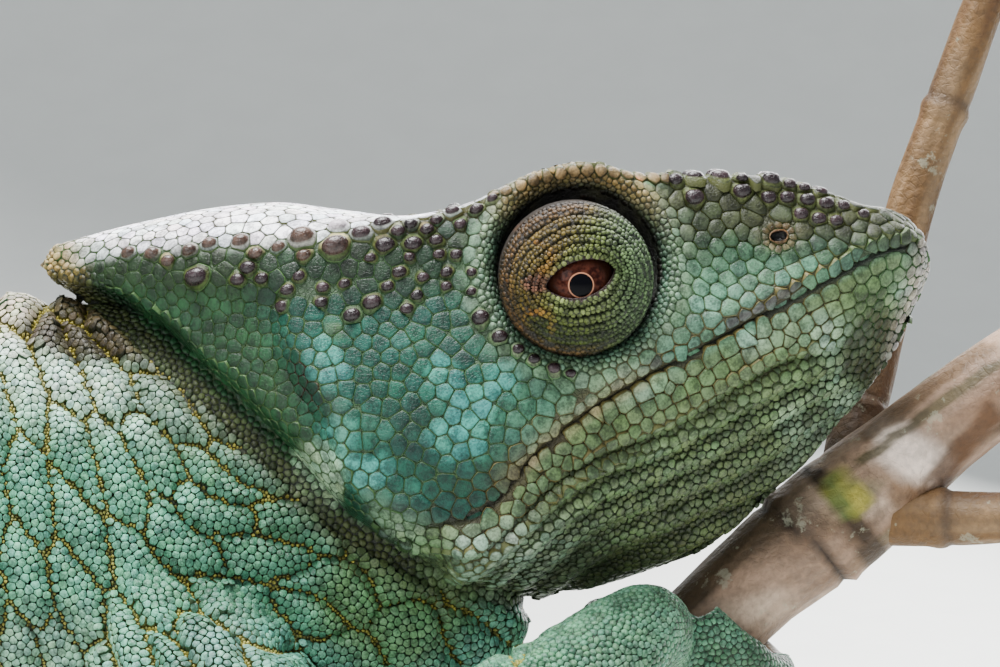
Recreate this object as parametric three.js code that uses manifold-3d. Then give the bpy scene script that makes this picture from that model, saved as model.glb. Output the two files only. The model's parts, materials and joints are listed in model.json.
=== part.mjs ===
// Parson's-type chameleon, life size, climbing a short cut branch on a plain display stand.
// Millimetres, +Z up, +X the way the animal faces, -Y its right side. The origin is the middle
// of the base's underside. The animal and its branch are drawn in a frame of their own, whose
// origin lies in the middle of the head, and one group carries that frame to its place.
import * as THREE from "three";
import { mergeVertices } from "three/addons/utils/BufferGeometryUtils.js";
import Module from "manifold-3d";

const wasm = await Module();
wasm.setup();

// ---- Driving sizes ----------------------------------------------------------------------
const ANIMAL_AT = [85, 0, 150]; // the animal frame's origin, from the base's underside
const GAP = 0.35; // between pieces that touch
const BASE = { length: 220, width: 96, height: 10, corner: 12, bevel: 1.2 };
const ROD_RADIUS = 3;
const ROD_STATIONS = [-38, -140]; // where the two rods meet the branch
const EYE = { x: 5.9, z: 4.7, radius: 6.1, reach: 18.6, opening: 2.3, ball: 3.1, forward: 4, down: 5 };

// Head lines in side view, from the tip of the casque to the snout: [x, z] pairs.
const HEAD_TOP = [
  [-36.4, 5.5], [-33, 8.0], [-23, 10.2], [-16, 10.5], [-5, 8.9],
  [3, 9.4], [14, 11.6], [22, 12.0], [29, 10.2], [32.4, 8.8], [34.2, 6.9],
];
const HEAD_CREST = [
  [-36.2, 5.3], [-29.6, 6.8], [-15, 7.5], [-8, 8.9], [-2.5, 10.4], [0.6, 11.8],
  [3.4, 12.8], [7, 13.4], [12, 12.7], [21.5, 12.4], [28.5, 10.1], [32, 8.8], [34, 6.9],
];
const HEAD_CHEEK = [
  [-36, 5], [-29.6, 3.9], [-22.4, -0.1], [-14.4, -4.9], [-6.4, -7.3],
  [0, -5.9], [6.4, -3.4], [12.8, 0.2], [25.6, 5.7], [34.2, 7.6],
];
const HEAD_MOUTH = [
  [-35.8, 4.7], [-29.6, 2.3], [-22.4, -3.3], [-14.4, -10.5], [-8, -14.5],
  [-1.6, -13.7], [3.2, -8.9], [8, -5.2], [16, -0.9], [28, 4.9], [34.2, 7.5],
];
const HEAD_JAW = [
  [-35.6, 4.4], [-29.6, 1.7], [-22.4, -4.9], [-14.4, -12.9], [-8, -17.2],
  [-1.6, -18.1], [4.8, -14.9], [12.8, -8.5], [20.8, -4.1], [31.4, 3.6], [34.5, 6.2],
];
const HEAD_THROAT = [
  [-35.2, 4], [-32.6, 1.9], [-26.5, -3.2], [-18.3, -10.6], [-13, -15.9], [-6.5, -19.7],
  [0, -21.3], [6.3, -20.7], [10.6, -19.5], [16, -17.7], [20.1, -14.5], [24, -10.8],
  [28, -6.3], [31.5, -2], [33.5, 2.2], [34.4, 5],
];
// Half widths over x: [x, half width].
const CREST_WIDTH = [[-37, 0.6], [-30, 5], [-22, 8.5], [-14, 10.4], [0, 10], [12, 7.8], [24, 5.3], [34.5, 1.8]];
const CHEEK_WIDTH = [[-37, 0.8], [-30, 6], [-22, 10.4], [-14, 13.8], [-3, 15.4], [6, 14.2], [18, 10.2], [27, 7.2], [34.8, 2.4]];
const MOUTH_SHARE = 0.97; // of the cheek's half width
const JAW_SHARE = 0.89;

// Trunk lines in side view, from inside the head to the root of the tail.
const BACK = [
  [-2, -4], [-14, 2], [-26, 2.8], [-36, 2.9], [-48, 4.2],
  [-64, 4.6], [-84, 2.4], [-104, -2.8], [-124, -10.5], [-144, -21], [-158, -31],
];
const BELLY = [
  [-2, -12], [2.2, -24], [-1, -30.5], [-12, -37.5], [-32, -43.2],
  [-56, -47.7], [-80, -52], [-104, -55.5], [-128, -56.5], [-145, -53], [-157, -46],
];
const TRUNK_WIDTH = [[2, 6], [-12, 10.5], [-26, 12.2], [-42, 14.2], [-60, 17], [-84, 19.4], [-104, 19.4], [-124, 16.5], [-142, 12], [-158, 8]];

// Tail: a curve from the hips into a flat spiral that winds towards its tip.
const TAIL_LEAD = [[-144, -36], [-160, -40.5], [-178, -51]];
const COIL = { x: -190, z: -85, start: 112, turns: 2.15, outer: 20.5, inner: 6.2 };
const TAIL_RADIUS = [[0, 9.6], [0.12, 7.4], [0.3, 4.7], [0.55, 3.1], [0.8, 1.9], [1, 0.8]];
const TAIL_CUTS = [0.2, 0.34, 0.46, 0.58, 0.7, 0.84]; // where it is parted, as shares of its length

// Branch: its line, the radius along it, and the side shoots beyond the fore feet.
const BRANCH = [
  [-163, 0, -97], [-140, 0, -93], [-100, 0, -84.5], [-60, 0, -74], [-30, 0.5, -62], [-8, 1.8, -47],
  [6, 3.4, -33.9], [15.7, 4.4, -24.9], [21.2, 4.8, -19.7], [29, 5, -13.4], [36, 5, -7.4], [44, 4.6, -1.6],
];
const BRANCH_RADIUS = [[0, 5.8], [0.35, 5.2], [0.72, 4.4], [0.87, 4.3], [0.91, 4.9], [0.95, 4.1], [1, 3.8]];
const SHOOTS = [
  { name: "perch_shoot_low", path: [[29, 3, -14], [35, 1.6, -14.9], [40, 1, -14.8], [46, 0.6, -14.4]], radius: [2.7, 1.9] },
  { name: "perch_shoot_high", path: [[28, 6.5, -12], [29.6, 10.8, -5.5], [31.8, 12.4, 3], [33.8, 12.8, 10.7], [36.7, 13, 19], [40.4, 13, 29]], radius: [2.4, 1.8] },
];

// Limbs: where each joint lies [x, y, z] with the radius there, drawn for the right side.
const LIMBS = [
  {
    name: "right_arm", side: -1, station: 13.4, lean: 72,
    joints: [[-27, -7, -25, 8], [-19, -15.5, -32, 6.8], [-8.6, -21, -36.5, 5.2], [2.4, -16.5, -29.6, 5.4], [11.4, -9.6, -23, 4.2]],
    parts: ["upper_arm_right", "forearm_right", "hand_right"], toes: [2, 3],
  },
  {
    name: "left_arm", side: 1, station: -13.5, lean: 24,
    joints: [[-27, 7, -25, 8], [-23, 15.5, -31, 6.8], [-28.5, 23, -40, 5.2], [-23.5, 17.5, -46, 5.2], [-18, 10, -47, 3.9]],
    parts: ["upper_arm_left", "forearm_left", "hand_left"], toes: [2, 3],
  },
  {
    name: "right_leg", side: -1, station: -121, lean: 26,
    joints: [[-143, -5, -37, 9], [-134, -15, -43, 8], [-120, -24, -52, 5.8], [-123.5, -18, -64, 5.6], [-124, -8.6, -75.8, 4]],
    parts: ["thigh_right", "shank_right", "foot_right"], toes: [3, 2],
  },
  {
    name: "left_leg", side: 1, station: -93, lean: 26,
    joints: [[-143, 5, -37, 9], [-132, 15, -43, 8], [-112, 24, -50, 5.8], [-103.4, 18.5, -60.5, 5.6], [-97, 8.8, -69.6, 4]],
    parts: ["thigh_left", "shank_left", "foot_left"], toes: [3, 2],
  },
];
const TOE = { radius: 2, tip: 1.3, from: 8, to: 138, claw: 26, clawRadius: 0.7, pitch: 3.1 };
const BUNDLE_SHIFT = [2.8, -2.8]; // of the outer and the inner toes, along the branch
const BUNDLE_SWEEP = [2.4, -2.4]; // how much further each has moved on at its tips

// ---- Curves -----------------------------------------------------------------------------
// A smooth line through points of any size, by cubic pieces over its chord length, 0 to 1.
function through(points) {
  const along = [0];
  for (let i = 1; i < points.length; i++)
    along.push(along[i - 1] + Math.hypot(...points[i].map((c, k) => c - points[i - 1][k])));
  const knots = along.map((a) => a / along.at(-1));
  const slopes = slopesOf(knots, points);
  return (t) => hermite(knots, points, slopes, t);
}

// A smooth value over x, by cubic pieces between [x, value] pairs in either direction.
function valueOver(pairs) {
  const sorted = [...pairs].sort((a, b) => a[0] - b[0]);
  const knots = sorted.map((p) => p[0]);
  const values = sorted.map((p) => [p[1]]);
  const slopes = slopesOf(knots, values);
  return (x) => hermite(knots, values, slopes, x)[0];
}

function slopesOf(knots, points) {
  const last = points.length - 1;
  return points.map((p, i) => {
    const a = Math.max(0, i - 1);
    const b = Math.min(last, i + 1);
    return p.map((_, k) => (points[b][k] - points[a][k]) / (knots[b] - knots[a]));
  });
}

function hermite(knots, points, slopes, at) {
  const x = Math.min(Math.max(at, knots[0]), knots.at(-1));
  let i = 0;
  while (i < knots.length - 2 && x > knots[i + 1]) i++;
  const h = knots[i + 1] - knots[i];
  const t = (x - knots[i]) / h;
  const c = [(1 + 2 * t) * (1 - t) ** 2, t * (1 - t) ** 2, t * t * (3 - 2 * t), t * t * (t - 1)];
  return points[i].map(
    (p, k) => c[0] * p + c[1] * h * slopes[i][k] + c[2] * points[i + 1][k] + c[3] * h * slopes[i + 1][k],
  );
}

// Steps from 0 to 1 that crowd towards both ends.
const easedSteps = (count) =>
  Array.from({ length: count + 1 }, (_, i) => (1 - Math.cos((Math.PI * i) / count)) / 2);

// ---- Solids -----------------------------------------------------------------------------
// A closed skin over rings of points; each end closes on the middle of its ring.
function loft(rings) {
  const sides = rings[0].length;
  const flat = rings.flat();
  const middle = (ring) => ring.reduce((s, p) => s.add(p), new THREE.Vector3()).divideScalar(sides);
  const points = [...flat, middle(rings[0]), middle(rings.at(-1))];
  const faces = [];
  const ringAt = (r, s) => r * sides + (s % sides);
  for (let s = 0; s < sides; s++) {
    faces.push(flat.length, ringAt(0, s + 1), ringAt(0, s));
    faces.push(flat.length + 1, ringAt(rings.length - 1, s), ringAt(rings.length - 1, s + 1));
    for (let r = 0; r + 1 < rings.length; r++) {
      faces.push(ringAt(r, s), ringAt(r, s + 1), ringAt(r + 1, s + 1));
      faces.push(ringAt(r, s), ringAt(r + 1, s + 1), ringAt(r + 1, s));
    }
  }
  const geometry = new THREE.BufferGeometry();
  geometry.setAttribute("position", new THREE.Float32BufferAttribute(points.flatMap((p) => [p.x, p.y, p.z]), 3));
  geometry.setIndex(faces);
  const solid = solidOf(geometry);
  return solid.volume() > 0 ? solid : solidOf(turned(geometry));
}

function turned(geometry) {
  const index = [...geometry.index.array];
  for (let i = 0; i < index.length; i += 3) [index[i + 1], index[i + 2]] = [index[i + 2], index[i + 1]];
  return geometry.setIndex(index);
}

function solidOf(geometry) {
  const bare = new THREE.BufferGeometry().setAttribute("position", geometry.getAttribute("position"));
  if (geometry.index) bare.setIndex(geometry.index);
  const merged = mergeVertices(bare, 1e-4);
  return new wasm.Manifold(
    new wasm.Mesh({
      numProp: 3,
      vertProperties: new Float32Array(merged.attributes.position.array),
      triVerts: new Uint32Array(merged.index.array),
    }),
  );
}

function geometryOf(solid) {
  const mesh = solid.getMesh();
  const positions = new Float32Array(mesh.numVert * 3);
  for (let i = 0; i < mesh.numVert; i++)
    positions.set(mesh.vertProperties.subarray(i * mesh.numProp, i * mesh.numProp + 3), i * 3);
  return new THREE.BufferGeometry()
    .setAttribute("position", new THREE.BufferAttribute(positions, 3))
    .setIndex(new THREE.BufferAttribute(new Uint32Array(mesh.triVerts), 1));
}

// The solid pushed out along its vertex normals.
function inflated(solid, by) {
  const geometry = geometryOf(solid);
  geometry.computeVertexNormals();
  const { position, normal } = geometry.attributes;
  for (let i = 0; i < position.count; i++)
    position.setXYZ(
      i,
      position.getX(i) + by * normal.getX(i),
      position.getY(i) + by * normal.getY(i),
      position.getZ(i) + by * normal.getZ(i),
    );
  return solidOf(geometry);
}

const placed = (geometry, x, y, z) => solidOf(geometry.translate(x, y, z));

// The biggest piece of a cut solid, so that slivers fall away.
const biggest = (solid) => solid.decompose().reduce((a, b) => (b.volume() > a.volume() ? b : a));

// A round tube along a path function, with its radius by share of length.
function tube(path, radius, { steps, sides, from = 0, to = 1 }) {
  const rings = [];
  let across = new THREE.Vector3(0, 1, 0);
  for (let i = 0; i <= steps; i++) {
    const t = from + ((to - from) * i) / steps;
    const here = vectorOf(path(t));
    const ahead = vectorOf(path(Math.min(1, t + 0.004))).sub(vectorOf(path(Math.max(0, t - 0.004)))).normalize();
    across.addScaledVector(ahead, -across.dot(ahead)).normalize();
    const up = new THREE.Vector3().crossVectors(ahead, across);
    rings.push(ringAround(here, across, up, radius(t), sides));
    across = across.clone();
  }
  return loft(rings);
}

function ringAround(centre, across, up, radius, sides) {
  return Array.from({ length: sides }, (_, s) => {
    const angle = (2 * Math.PI * s) / sides;
    return centre.clone()
      .addScaledVector(across, radius * Math.cos(angle))
      .addScaledVector(up, radius * Math.sin(angle));
  });
}

const vectorOf = (p) => (p.length === 2 ? new THREE.Vector3(p[0], 0, p[1]) : new THREE.Vector3(p[0], p[1], p[2]));

// ---- Head -------------------------------------------------------------------------------
const headLines = [HEAD_TOP, HEAD_CREST, HEAD_CHEEK, HEAD_MOUTH, HEAD_JAW, HEAD_THROAT].map(through);
const crestWidth = valueOver(CREST_WIDTH);
const cheekWidth = valueOver(CHEEK_WIDTH);
const headWidths = [
  () => 0,
  crestWidth,
  cheekWidth,
  (x) => MOUTH_SHARE * cheekWidth(x),
  (x) => JAW_SHARE * cheekWidth(x),
  () => 0,
];

// Half a head section from the crown (v = 0) to the throat (v = 1), as [x, y, z].
function headSection(u) {
  const knots = headLines.map((line, i) => {
    const [x, z] = line(u);
    return [x, headWidths[i](x), z];
  });
  const share = knots.map((_, i) => i / (knots.length - 1));
  const slopes = slopesOf(share, knots);
  slopes[0] = [0, 2 * knots[1][1] / share[1], 0];
  slopes[1] = slopes[1].map((s) => 0.35 * s); // the crest is a ridge
  slopes[5] = [0, -2.6 * knots[4][1] * share[1] * 5, 0];
  return (v) => hermite(share, knots, slopes, v);
}

function headRing(u, half) {
  const section = headSection(u);
  const right = Array.from({ length: half + 1 }, (_, i) => section(i / half));
  return [
    ...right.map(([x, y, z]) => new THREE.Vector3(x, -y, z)),
    ...right.slice(1, -1).reverse().map(([x, y, z]) => new THREE.Vector3(x, y, z)),
  ];
}

const HEAD_STEPS = 24;
const HEAD_HALF = 11;
const headWhole = loft(easedSteps(HEAD_STEPS).slice(1, -1).map((u) => headRing(u, HEAD_HALF)));

// ---- Eyes -------------------------------------------------------------------------------
// A turret is a low dome with a round opening, in which the eyeball sits.
function turretProfile(extra) {
  const depth = 9;
  const points = [[0, -depth], [EYE.radius + extra, -depth], [EYE.radius + extra, -4.4]];
  for (let i = 1; i <= 4; i++) {
    const t = i / 4;
    points.push([
      (EYE.radius + extra) * (1 - t) + (EYE.opening + 0.2) * t,
      -4.4 * (1 - t) ** 2.1 + extra,
    ]);
  }
  if (extra) points.push([0, extra]);
  else points.push([EYE.opening, -0.5], [EYE.opening, -2.2], [0, -6.2]);
  return points.map(([r, y]) => new THREE.Vector2(r, y));
}

function turret(side, extra) {
  const geometry = new THREE.LatheGeometry(turretProfile(extra), 16);
  if (side < 0) geometry.rotateX(Math.PI); // the lathe opens towards +Y
  aimed(geometry, side);
  const solid = solidOf(geometry);
  return solid.volume() > 0 ? solid : solidOf(turned(geometry));
}

const eyeball = (side) =>
  solidOf(aimed(new THREE.SphereGeometry(EYE.ball, 12, 8).translate(0, -side * (EYE.ball + 0.25), 0), side));

// Turns a shape drawn with the turret's opening at the origin, and carries it to its place.
function aimed(geometry, side) {
  const depth = 6;
  return geometry
    .translate(0, side * depth, 0)
    .rotateZ(-side * THREE.MathUtils.degToRad(EYE.forward))
    .rotateX(-side * THREE.MathUtils.degToRad(EYE.down))
    .translate(EYE.x, side * (EYE.reach - depth), EYE.z);
}

// ---- Trunk and tail ---------------------------------------------------------------------
const back = through(BACK);
const belly = through(BELLY);
const trunkWidth = valueOver(TRUNK_WIDTH);
const RIDGE_POWER = 1.35; // above the flank the section narrows to a ridge
const KEEL_POWER = 0.85; // below it stays full

function trunkRing(u, sides) {
  const top = vectorOf(back(u));
  const foot = vectorOf(belly(u));
  const middle = top.clone().lerp(foot, 0.54);
  const width = trunkWidth(middle.x);
  return Array.from({ length: sides }, (_, s) => {
    const angle = (2 * Math.PI * s) / sides;
    const up = Math.cos(angle);
    const point = middle.clone().lerp(up > 0 ? top : foot, Math.abs(up));
    const power = up > 0 ? RIDGE_POWER : KEEL_POWER;
    point.y = -Math.sign(Math.sin(angle)) * width * Math.abs(Math.sin(angle)) ** power;
    return point;
  });
}

const trunkWhole = loft(easedSteps(24).slice(1, -1).map((u) => trunkRing(u, 16)));

const coilPoint = (share) => {
  const angle = THREE.MathUtils.degToRad(COIL.start + 360 * COIL.turns * share);
  const radius = COIL.outer * (COIL.inner / COIL.outer) ** share;
  return [COIL.x + radius * Math.cos(angle), COIL.z + radius * Math.sin(angle)];
};
const COIL_POINTS = 26;
const tailLine = through([
  ...TAIL_LEAD,
  ...Array.from({ length: COIL_POINTS }, (_, i) => coilPoint(i / (COIL_POINTS - 1))),
]);
const tailRadius = valueOver(TAIL_RADIUS);
const TAIL_SIDES = 8;
const TAIL_STEPS = 62; // over its whole length

function tailPiece(from, to) {
  const steps = Math.max(6, Math.round((to - from) * TAIL_STEPS));
  return tube(tailLine, tailRadius, { steps, sides: TAIL_SIDES, from, to });
}

// ---- Branch -----------------------------------------------------------------------------
const branchLine = through(BRANCH);
const branchRadius = valueOver(BRANCH_RADIUS);
const branch = tube(branchLine, branchRadius, { steps: 24, sides: 9 });

// The branch's middle, direction and radius at the given x.
function branchAt(x) {
  let low = 0;
  let high = 1;
  for (let i = 0; i < 40; i++) {
    const middle = (low + high) / 2;
    if (branchLine(middle)[0] < x) low = middle;
    else high = middle;
  }
  const ahead = vectorOf(branchLine(low + 0.01)).sub(vectorOf(branchLine(low - 0.01))).normalize();
  return { at: vectorOf(branchLine(low)), ahead, radius: branchRadius(low) };
}

// ---- Feet -------------------------------------------------------------------------------
// A toe bends round the branch in a plane across it; the claw carries its curve on.
function toe(grip, offset, sweep, turn, side) {
  const reach = grip.radius + TOE.radius + GAP;
  const start = grip.at.clone().addScaledVector(grip.ahead, offset);
  const out = new THREE.Vector3().crossVectors(grip.ahead, grip.up).multiplyScalar(side);
  const path = (degrees, away) => {
    const angle = THREE.MathUtils.degToRad(degrees);
    return start.clone()
      .addScaledVector(grip.ahead, (sweep * degrees) / TOE.to)
      .addScaledVector(grip.up, away * Math.cos(angle))
      .addScaledVector(out, away * Math.sin(angle));
  };
  const rings = [];
  const ring = (degrees, away, radius) => {
    const here = path(degrees, away);
    const outward = path(degrees, away + 1).sub(here);
    rings.push(ringAround(here, grip.ahead, outward, radius, 6));
  };
  const steps = 4;
  for (let i = 0; i <= steps; i++) {
    const t = i / steps;
    ring(TOE.from + (TOE.to + turn - TOE.from) * t, reach, TOE.radius + (TOE.tip - TOE.radius) * t);
  }
  for (const [t, share] of [[0.15, 1], [1, 0.15]])
    ring(TOE.to + turn + TOE.claw * t, reach + 0.5 * t, TOE.clawRadius * share);
  return loft(rings);
}

function bundle(grip, count, side, which) {
  const toes = Array.from({ length: count }, (_, i) => {
    const offset = BUNDLE_SHIFT[which] + (i - (count - 1) / 2) * TOE.pitch;
    return toe(grip, offset, BUNDLE_SWEEP[which], -6 * Math.abs(i - (count - 1) / 2), side);
  });
  return toes.reduce((a, b) => a.add(b));
}

// ---- Limbs ------------------------------------------------------------------------------
const JOINT_SHARES = [0, 0.24, 0.5, 0.76, 1];

function limbSolids({ side, station, lean, joints, toes }) {
  const grip = branchAt(station);
  const straightUp = new THREE.Vector3(-grip.ahead.z, 0, grip.ahead.x);
  const tilt = THREE.MathUtils.degToRad(lean);
  grip.up = straightUp.multiplyScalar(Math.cos(tilt)).add(new THREE.Vector3(0, side * Math.sin(tilt), 0));
  const palmAt = grip.at.clone().addScaledVector(grip.up, grip.radius + 3.4);
  const line = through([...joints.map((j) => j.slice(0, 3)), palmAt.toArray()]);
  const elbow = vectorOf(joints[2].slice(0, 3));
  const wrist = vectorOf(joints[4].slice(0, 3));
  const shares = [...joints.map((j) => nearestShare(line, j)), 1];
  const radius = valueOver([...joints.map((j, i) => [shares[i], j[3]]), [1, 3.6]]);
  const whole = tube(line, radius, { steps: 12, sides: 9 });
  const palm = tube(
    (t) => grip.at.clone().addScaledVector(grip.up, grip.radius + 3).addScaledVector(grip.ahead, 9 * (t - 0.5)).toArray(),
    (t) => 3.6 * Math.sqrt(Math.max(0.12, 1 - (2 * t - 1) ** 2)),
    { steps: 4, sides: 7 },
  );
  const outer = bundle(grip, toes[0], outwardSide(grip, side), 0);
  const inner = bundle(grip, toes[1], -outwardSide(grip, side), 1);
  return { line, whole, elbow, wrist, shares, palm, outer, inner };
}

// +1 or -1, whichever turns the toes towards the animal's outer side.
const outwardSide = (grip, side) =>
  Math.sign(new THREE.Vector3().crossVectors(grip.ahead, grip.up).y) === side ? 1 : -1;

function nearestShare(line, joint) {
  let best = 0;
  let least = Infinity;
  for (let i = 0; i <= 400; i++) {
    const away = vectorOf(line(i / 400)).distanceTo(vectorOf(joint.slice(0, 3)));
    if (away < least) {
      least = away;
      best = i / 400;
    }
  }
  return best;
}

// The half of a solid ahead of a plane across a line, less half the gap.
function ahead(solid, line, share, direction) {
  const at = vectorOf(line(share));
  const normal = vectorOf(line(Math.min(1, share + 0.01))).sub(vectorOf(line(share - 0.01))).normalize();
  normal.multiplyScalar(direction);
  return solid.trimByPlane(normal.toArray(), normal.dot(at) + GAP / 2);
}

// ---- Putting it together ----------------------------------------------------------------
const part = new THREE.Group();
const animal = new THREE.Group();
animal.position.set(...ANIMAL_AT);
part.add(animal);

const finishes = {
  skin: { color: 0x5f9a86, roughness: 0.6 },
  throat: { color: 0x8fa57f, roughness: 0.6 },
  turret: { color: 0x7d8a4e, roughness: 0.6 },
  eye: { color: 0x140c0a, roughness: 0.1 },
  bark: { color: 0x9a7f6b, roughness: 0.8 },
  steel: { color: 0x8d8f92, roughness: 0.35, metalness: 1 },
  base: { color: 0x3b2a20, roughness: 0.5 },
};

function add(group, name, solid, finish) {
  const material = new THREE.MeshStandardMaterial({ metalness: 0, ...finishes[finish] });
  const mesh = new THREE.Mesh(geometryOf(biggest(solid)), material);
  mesh.name = name;
  group.add(mesh);
}

// Lower jaw and throat: all of the head that lies below the mouth, ahead of the jaw's angle.
const SIDE = 40; // half width of every cutting block, wider than the animal
function sideBlock(outline) {
  const shape = new THREE.Shape(outline.map(([x, z]) => new THREE.Vector2(x, z)));
  const geometry = new THREE.ExtrudeGeometry(shape, { depth: 2 * SIDE, bevelEnabled: false });
  geometry.rotateX(Math.PI / 2).translate(0, SIDE, 0);
  return solidOf(geometry);
}
const mouthCut = HEAD_MOUTH.slice(5).map(([x, z]) => [x, z]);
const jawOutline = (shift) => [
  [-4.5 - shift, -30],
  [-4 - shift, -15.2 + shift],
  ...mouthCut.map(([x, z]) => [x - shift * 0.5, z + shift]),
  [60, 7.5 + shift],
  [60, -30],
];
const headLessEyes = [-1, 1].reduce((solid, side) => solid.subtract(turret(side, GAP)), headWhole);
add(animal, "head", headLessEyes.subtract(sideBlock(jawOutline(GAP))), "skin");
const jaw = headLessEyes.intersect(sideBlock(jawOutline(0)));
add(animal, "lower_jaw", jaw, "throat");

for (const [side, name] of [[-1, "right"], [1, "left"]]) {
  add(animal, `eye_turret_${name}`, turret(side, 0).subtract(inflated(eyeball(side), GAP)), "turret");
  add(animal, `eyeball_${name}`, eyeball(side), "eye");
}

const headRoom = inflated(headWhole, GAP);
const neckPlane = [-0.96, 0, 0.28];
const neckAt = 41.5;
const trunkLessHead = trunkWhole.subtract(headRoom);
add(animal, "neck", biggest(trunkLessHead.trimByPlane(neckPlane.map((c) => -c), -neckAt + GAP / 2)), "skin");
add(animal, "trunk", trunkLessHead.trimByPlane(neckPlane, neckAt + GAP / 2), "skin");

const bodyRoom = inflated(trunkWhole, GAP).add(headRoom);
const tailEdges = [0, ...TAIL_CUTS, 1];
const half = 0.0011; // half the gap between lengths of tail, as a share of its length
tailEdges.slice(0, -1).forEach((from, i) => {
  const piece = tailPiece(from + (i ? half : 0), tailEdges[i + 1] - (i < TAIL_CUTS.length ? half : 0));
  add(animal, i ? `tail_${i + 1}` : "tail_1", i ? piece : piece.subtract(bodyRoom), "skin");
});

const branchRoom = inflated(branch, GAP);
for (const limb of LIMBS) {
  const { line, whole, shares, palm, outer, inner } = limbSolids(limb);
  const free = whole.subtract(bodyRoom).subtract(branchRoom);
  const [upperName, lowerName, footName] = limb.parts;
  add(animal, upperName, ahead(free, line, shares[2], -1), "skin");
  const lower = ahead(ahead(free, line, shares[2], 1), line, shares[4], -1);
  const hand = ahead(free, line, shares[4], 1).add(palm).add(outer).subtract(branchRoom).subtract(inflated(lower, GAP));
  add(animal, lowerName, lower, "skin");
  add(animal, `${footName}_outer`, hand, "skin");
  add(animal, `${footName}_inner`, inner.subtract(inflated(hand, GAP)).subtract(bodyRoom).subtract(branchRoom).subtract(inflated(lower, GAP)), "skin");
}

add(animal, "perch_branch", branch, "bark");
let grown = branchRoom;
for (const { name, path, radius } of SHOOTS) {
  const solid = tube(through(path), (t) => radius[0] + (radius[1] - radius[0]) * t, { steps: 7, sides: 7 });
  add(animal, name, solid.subtract(grown), "bark");
  grown = grown.add(inflated(solid, GAP));
}

// ---- Stand ------------------------------------------------------------------------------
const plate = new THREE.Shape();
const [px, py] = [BASE.length / 2 - BASE.bevel, BASE.width / 2 - BASE.bevel];
const r = BASE.corner;
plate.moveTo(-px + r, -py);
plate.lineTo(px - r, -py);
plate.absarc(px - r, -py + r, r, -Math.PI / 2, 0);
plate.lineTo(px, py - r);
plate.absarc(px - r, py - r, r, 0, Math.PI / 2);
plate.lineTo(-px + r, py);
plate.absarc(-px + r, py - r, r, Math.PI / 2, Math.PI);
plate.lineTo(-px, -py + r);
plate.absarc(-px + r, -py + r, r, Math.PI, 1.5 * Math.PI);
const baseSolid = solidOf(
  new THREE.ExtrudeGeometry(plate, {
    depth: BASE.height - 2 * BASE.bevel, curveSegments: 4,
    bevelThickness: BASE.bevel, bevelSize: BASE.bevel, bevelSegments: 1,
  }).translate(0, 0, BASE.bevel),
);
add(part, "stand_base", baseSolid, "base");

for (const [i, station] of ROD_STATIONS.entries()) {
  const { at } = branchAt(station);
  const bottom = BASE.height + GAP - ANIMAL_AT[2];
  const rod = new THREE.CylinderGeometry(ROD_RADIUS, ROD_RADIUS, at.z - bottom, 20).rotateX(Math.PI / 2);
  const solid = placed(rod, at.x, 0, (at.z + bottom) / 2).subtract(branchRoom);
  add(animal, i ? "stand_rod_rear" : "stand_rod_front", solid, "steel");
}

export default part;
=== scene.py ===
"""A life-size chameleon climbing a short cut branch on a plain display stand.

Every size below is in millimetres in the animal's own frame: the origin in the middle of the head,
X the way the animal faces, Z up, -Y its right side. The frame's origin is the middle of the base's
underside, and ANIMAL_AT carries one to the other.
"""

import json
import math
from functools import lru_cache

import bpy
import numpy as np
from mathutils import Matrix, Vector
from mathutils.bvhtree import BVHTree
from mathutils.kdtree import KDTree

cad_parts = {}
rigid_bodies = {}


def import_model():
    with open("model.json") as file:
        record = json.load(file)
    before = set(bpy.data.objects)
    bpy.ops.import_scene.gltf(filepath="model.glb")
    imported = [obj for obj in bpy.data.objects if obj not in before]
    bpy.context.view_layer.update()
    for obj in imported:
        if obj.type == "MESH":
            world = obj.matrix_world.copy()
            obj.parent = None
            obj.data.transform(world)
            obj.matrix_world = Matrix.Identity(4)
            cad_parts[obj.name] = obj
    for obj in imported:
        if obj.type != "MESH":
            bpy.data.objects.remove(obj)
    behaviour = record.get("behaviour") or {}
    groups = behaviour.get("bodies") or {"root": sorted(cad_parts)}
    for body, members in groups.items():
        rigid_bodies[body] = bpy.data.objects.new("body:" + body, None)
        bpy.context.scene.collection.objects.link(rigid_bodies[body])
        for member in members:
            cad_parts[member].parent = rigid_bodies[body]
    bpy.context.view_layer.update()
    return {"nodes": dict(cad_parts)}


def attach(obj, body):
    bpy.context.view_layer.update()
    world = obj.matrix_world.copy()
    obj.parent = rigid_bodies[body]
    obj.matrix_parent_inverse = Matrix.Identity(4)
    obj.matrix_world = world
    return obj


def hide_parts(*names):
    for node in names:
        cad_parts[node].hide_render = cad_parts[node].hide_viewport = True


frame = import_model()

bl_info = {
    "name": "Chameleon on a cut branch",
    "version": (1, 0, 0),
    "blender": (4, 5, 0),
    "location": "3D View > Sidebar > Chameleon",
    "description": "Builds the scaled skin, eyes, claws, branch and stand of a life-size chameleon",
    "category": "Object",
}

MM = 0.001
ANIMAL_AT = np.array([85.0, 0.0, 150.0])
SEED = 20717
COAT_DEPTH = 0.3  # how far the skin lies inside the animal's outline

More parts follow.
